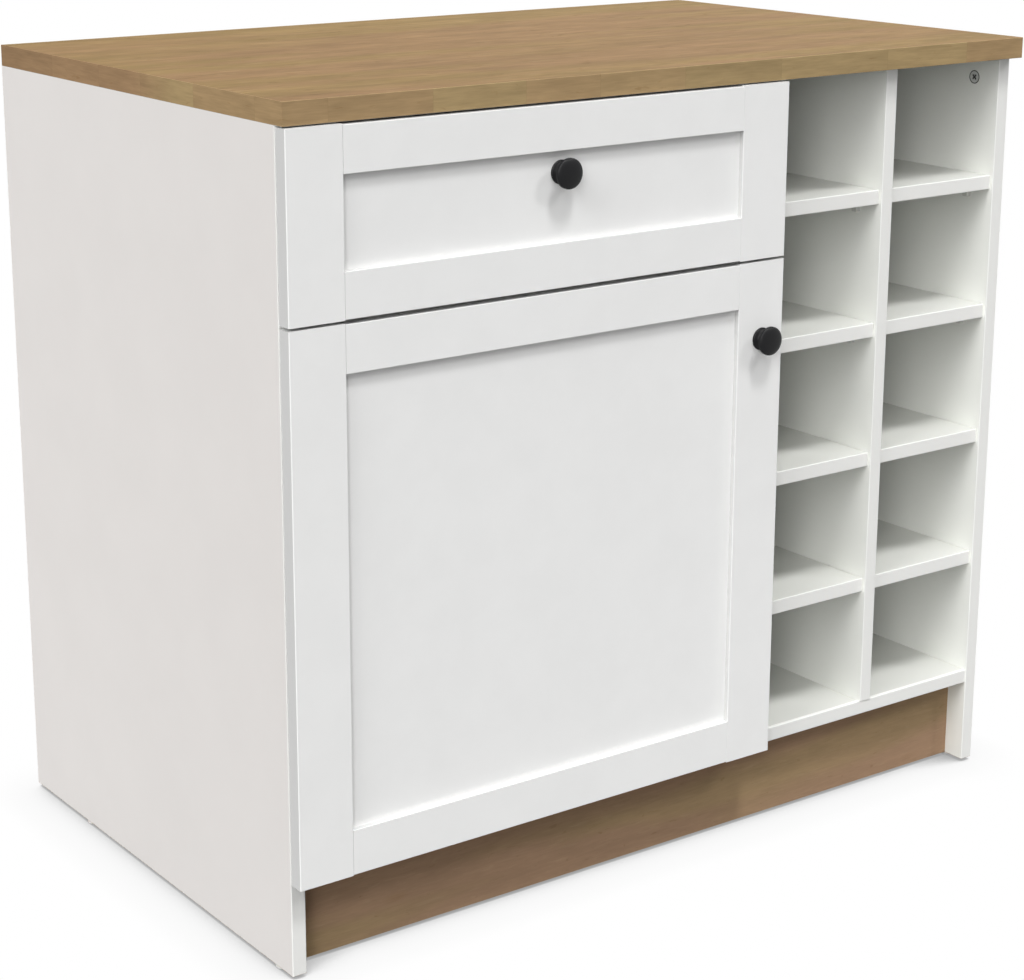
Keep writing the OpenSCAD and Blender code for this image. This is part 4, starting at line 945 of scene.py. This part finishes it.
# %% Sizes of the hinge screws
RIGHTWARDS = Vector((1, 0, 0))
PLATE_SCREW = {"Head Radius": 0.0043, "Foot Radius": 0.0041, "Crown Radius": 0.0036,
               "Head Height": 0.0032, "Recess Depth": 0.0011, "Shank Length": 0.008}
CUP_SCREW = {"Head Radius": 0.0032, "Foot Radius": 0.0030, "Crown Radius": 0.0026,
             "Head Height": 0.0016, "Recess Width": 0.0036, "Recess Depth": 0.0009,
             "Shank Radius": 0.0012, "Shank Length": 0.008}
SET_SCREW = {"Head Radius": 0.0030, "Foot Radius": 0.0030, "Crown Radius": 0.0026,
             "Head Height": 0.0014, "Recess Width": 0.0036, "Recess Depth": 0.0009,
             "Shank Length": 0.001, "Tip Length": 0.001}
# Tops of plate and arm over the panel's face, and how far a head stands out of a cup's rim
PLATE_TOP, ARM_TOP, CUP_PROUD = 0.0052, 0.0143, 0.0012
# Places behind the front end of a plate
PLATE_Y, ARM_YS = 0.013, (0.008, 0.025)
# Middle of a plate from its end, and its screws above and below that middle
PLATE_END, PLATE_REACH = 0.025, 0.016
# Screws of a cup from its left end, and above and below its middle
CUP_X, CUP_REACH = 0.0285, 0.0215
print("plate screw", PLATE_SCREW["Head Radius"] * 2000, "mm over its head")

# %% Hinge screws
panel_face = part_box("left_side_panel")[1].x
plates_low, plates_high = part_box("hinge_plates")
cups_low, cups_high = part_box("hinge_cups")
hinge_heights = (plates_low.z + PLATE_END, plates_high.z - PLATE_END)
plate_places, set_places, cup_places = [], [], []
for height in hinge_heights:
    for side in (-1, 1):
        plate_places.append(((panel_face + PLATE_TOP, plates_low.y + PLATE_Y,
                              height + side * PLATE_REACH), RIGHTWARDS))
        cup_places.append(((cups_low.x + CUP_X, cups_high.y + CUP_PROUD,
                            height + side * CUP_REACH), INWARDS))
    for run in ARM_YS:
        set_places.append(((panel_face + ARM_TOP, plates_low.y + run, height), RIGHTWARDS))
drive_screws("hinge_plate_screws", plate_places, "carcass", PLATE_SCREW, nickel)
drive_screws("hinge_set_screws", set_places, "carcass", SET_SCREW, nickel)
drive_screws("hinge_cup_screws", cup_places, "door", CUP_SCREW, nickel)

# %% Runner screws
COUNTERSUNK = {"Head Radius": 0.0034, "Foot Radius": 0.0016, "Crown Radius": 0.0034,
               "Head Height": 0.0018, "Recess Width": 0.0038, "Recess Depth": 0.0011,
               "Shank Length": 0.008}
SHEET_T, PROUD = 0.0012, 0.00015
# Places behind the front end of a runner
CABINET_YS = (0.075, 0.170, 0.300)
DRAWER_YS = (0.045, 0.150, 0.270)
HOOK_TO_SCREW = 0.0057
roller_low, roller_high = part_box("drawer_rollers")
channel_mid = (roller_low.z + roller_high.z) / 2
cabinet_places, drawer_places = [], []
for side, way in (("left", 1), ("right", -1)):
    low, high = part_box("cabinet_runner_" + side)
    web_x = low.x + SHEET_T + PROUD if side == "left" else high.x - SHEET_T - PROUD
    for run in CABINET_YS:
        cabinet_places.append(((web_x, low.y + run, channel_mid), RIGHTWARDS * way))
    # The web of a drawer runner stands beside the drawer side
    board_low, board_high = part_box(f"drawer_{side}_side")
    web_x = board_low.x - SHEET_T - PROUD if side == "left" else board_high.x + SHEET_T + PROUD
    start_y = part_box("drawer_runner_" + side)[0].y
    for run in DRAWER_YS:
        drawer_places.append(((web_x, start_y + run, board_low.z + HOOK_TO_SCREW - SHEET_T),
                              RIGHTWARDS * -way))
drive_screws("cabinet_runner_screws", cabinet_places, "carcass", COUNTERSUNK, zinc)
drive_screws("drawer_runner_screws", drawer_places, "drawer", COUNTERSUNK, zinc)

# %% [markdown]
# ## Floor
# The cabinet stands on a plain pale floor that fades into a white background. Lamps strong enough
# to light a floor to pure white would bleach the cabinet as well. So the floor shines by itself
# where the camera or a mirror-like surface looks at it, and is plain grey for all other light. Its
# shade follows from how open the place is, so a narrow soft shadow shows near the cabinet.

# %% Lay the floor
FLOOR_R = 30.0
FLOOR_SIDES = 64
CONTACT = 0.07
CONTACT_SAMPLES = 16
FLOOR_GREY = (0.15, 0.15, 0.15, 1)
# Shade of the floor by how open the place is: 0.5 at the foot of a tall wall, 1 in the open
FLOOR_SHADES = [(0.20, 160), (0.42, 196), (0.50, 214), (0.57, 239), (0.63, 246), (0.75, 250),
                (0.90, 252), (1.0, 255)]
floor_mesh = bpy.data.meshes.new("studio_floor")
floor_rim = [(FLOOR_R * math.cos(2 * math.pi * i / FLOOR_SIDES),
              FLOOR_R * math.sin(2 * math.pi * i / FLOOR_SIDES), 0) for i in range(FLOOR_SIDES)]
floor_mesh.from_pydata(floor_rim, [], [list(range(FLOOR_SIDES))])
floor = new_object("studio_floor", floor_mesh)
print("floor of", 2 * FLOOR_R, "m across")

# %% Paint the floor
def seen_directly(tree):
    """1 for rays that come from the camera or from a mirror-like surface, else 0."""
    paths = add(tree, "ShaderNodeLightPath").outputs
    return math_node(tree, "MAXIMUM", paths["Is Camera Ray"],
                     math_node(tree, "MAXIMUM", paths["Is Glossy Ray"], paths["Is Transmission Ray"]))


floor_paint = bpy.data.materials.new("studio_floor")
floor_paint.use_nodes = True
tree = floor_paint.node_tree
tree.nodes.clear()
openness = add(tree, "ShaderNodeAmbientOcclusion", {"Distance": CONTACT},
               samples=CONTACT_SAMPLES).outputs["AO"]
shade = ramp(tree, openness, [(share, paint(grey, grey, grey)) for share, grey in FLOOR_SHADES])
grey_floor = add(tree, "ShaderNodeBsdfDiffuse", {"Color": FLOOR_GREY}).outputs[0]
shown = add(tree, "ShaderNodeEmission", {"Color": shade, "Strength": 1.0}).outputs[0]
result = add(tree, "ShaderNodeMixShader", {0: seen_directly(tree), 1: grey_floor, 2: shown}).outputs[0]
add(tree, "ShaderNodeOutputMaterial", {"Surface": result})
floor_mesh.materials.append(floor_paint)
print("floor paint:", len(tree.nodes), "nodes")

# %% [markdown]
# ## Light
# The photograph has no hard shadow anywhere, so every light is a wide soft source far away. A sun
# lamp with a wide angle gives just that, with the same strength all over the object. One comes
# steeply from the front, with a faint one under it, and draws the shadow under each rail of the
# fronts. Two lights from the front left reach into the rack's cells, and a strong one from the
# left lights the left side. A narrower key light from the right puts the small shadow at the lower
# left of each knob, and one light behind the cabinet shows its back and its right side in other
# views.

# %% Lamps
# Each lamp: turn to the right of the front, rise over the floor and width in degrees, power
LAMPS = {
    "front": (0, 52, 16, 0.15),
    "steep_front": (0, 67, 11, 1.62),
    "low_front_left": (-45, 12, 24, 0.68),
    "front_left": (-45, 35, 24, 0.66),
    "left": (-80, 36, 30, 2.04),
    "key": (45, 39, 12, 0.66),
    "rear_right": (135, 30, 30, 1.25),
}
for name, (turn, rise, width, power) in LAMPS.items():
    turn, rise = math.radians(turn), math.radians(rise)
    towards = Vector((math.sin(turn) * math.cos(rise), -math.cos(turn) * math.cos(rise),
                      math.sin(rise)))
    data = bpy.data.lights.new(name, "SUN")
    data.angle = math.radians(width)
    data.energy = power
    lamp = new_object(name, data)
    lamp.rotation_euler = towards.to_track_quat("Z", "Y").to_euler()
print("lamps:", list(LAMPS))

# %% Sky
SKY = 0.01
world = bpy.data.worlds.new("studio")
bpy.context.scene.world = world
world.use_nodes = True
tree = world.node_tree
tree.nodes.clear()
sky_strength = between(tree, seen_directly(tree), SKY, 1.0)
sky = add(tree, "ShaderNodeBackground", {"Color": (1, 1, 1, 1), "Strength": sky_strength}).outputs[0]
add(tree, "ShaderNodeOutputWorld", {"Surface": sky})
print("sky gives", SKY, "and shows white")
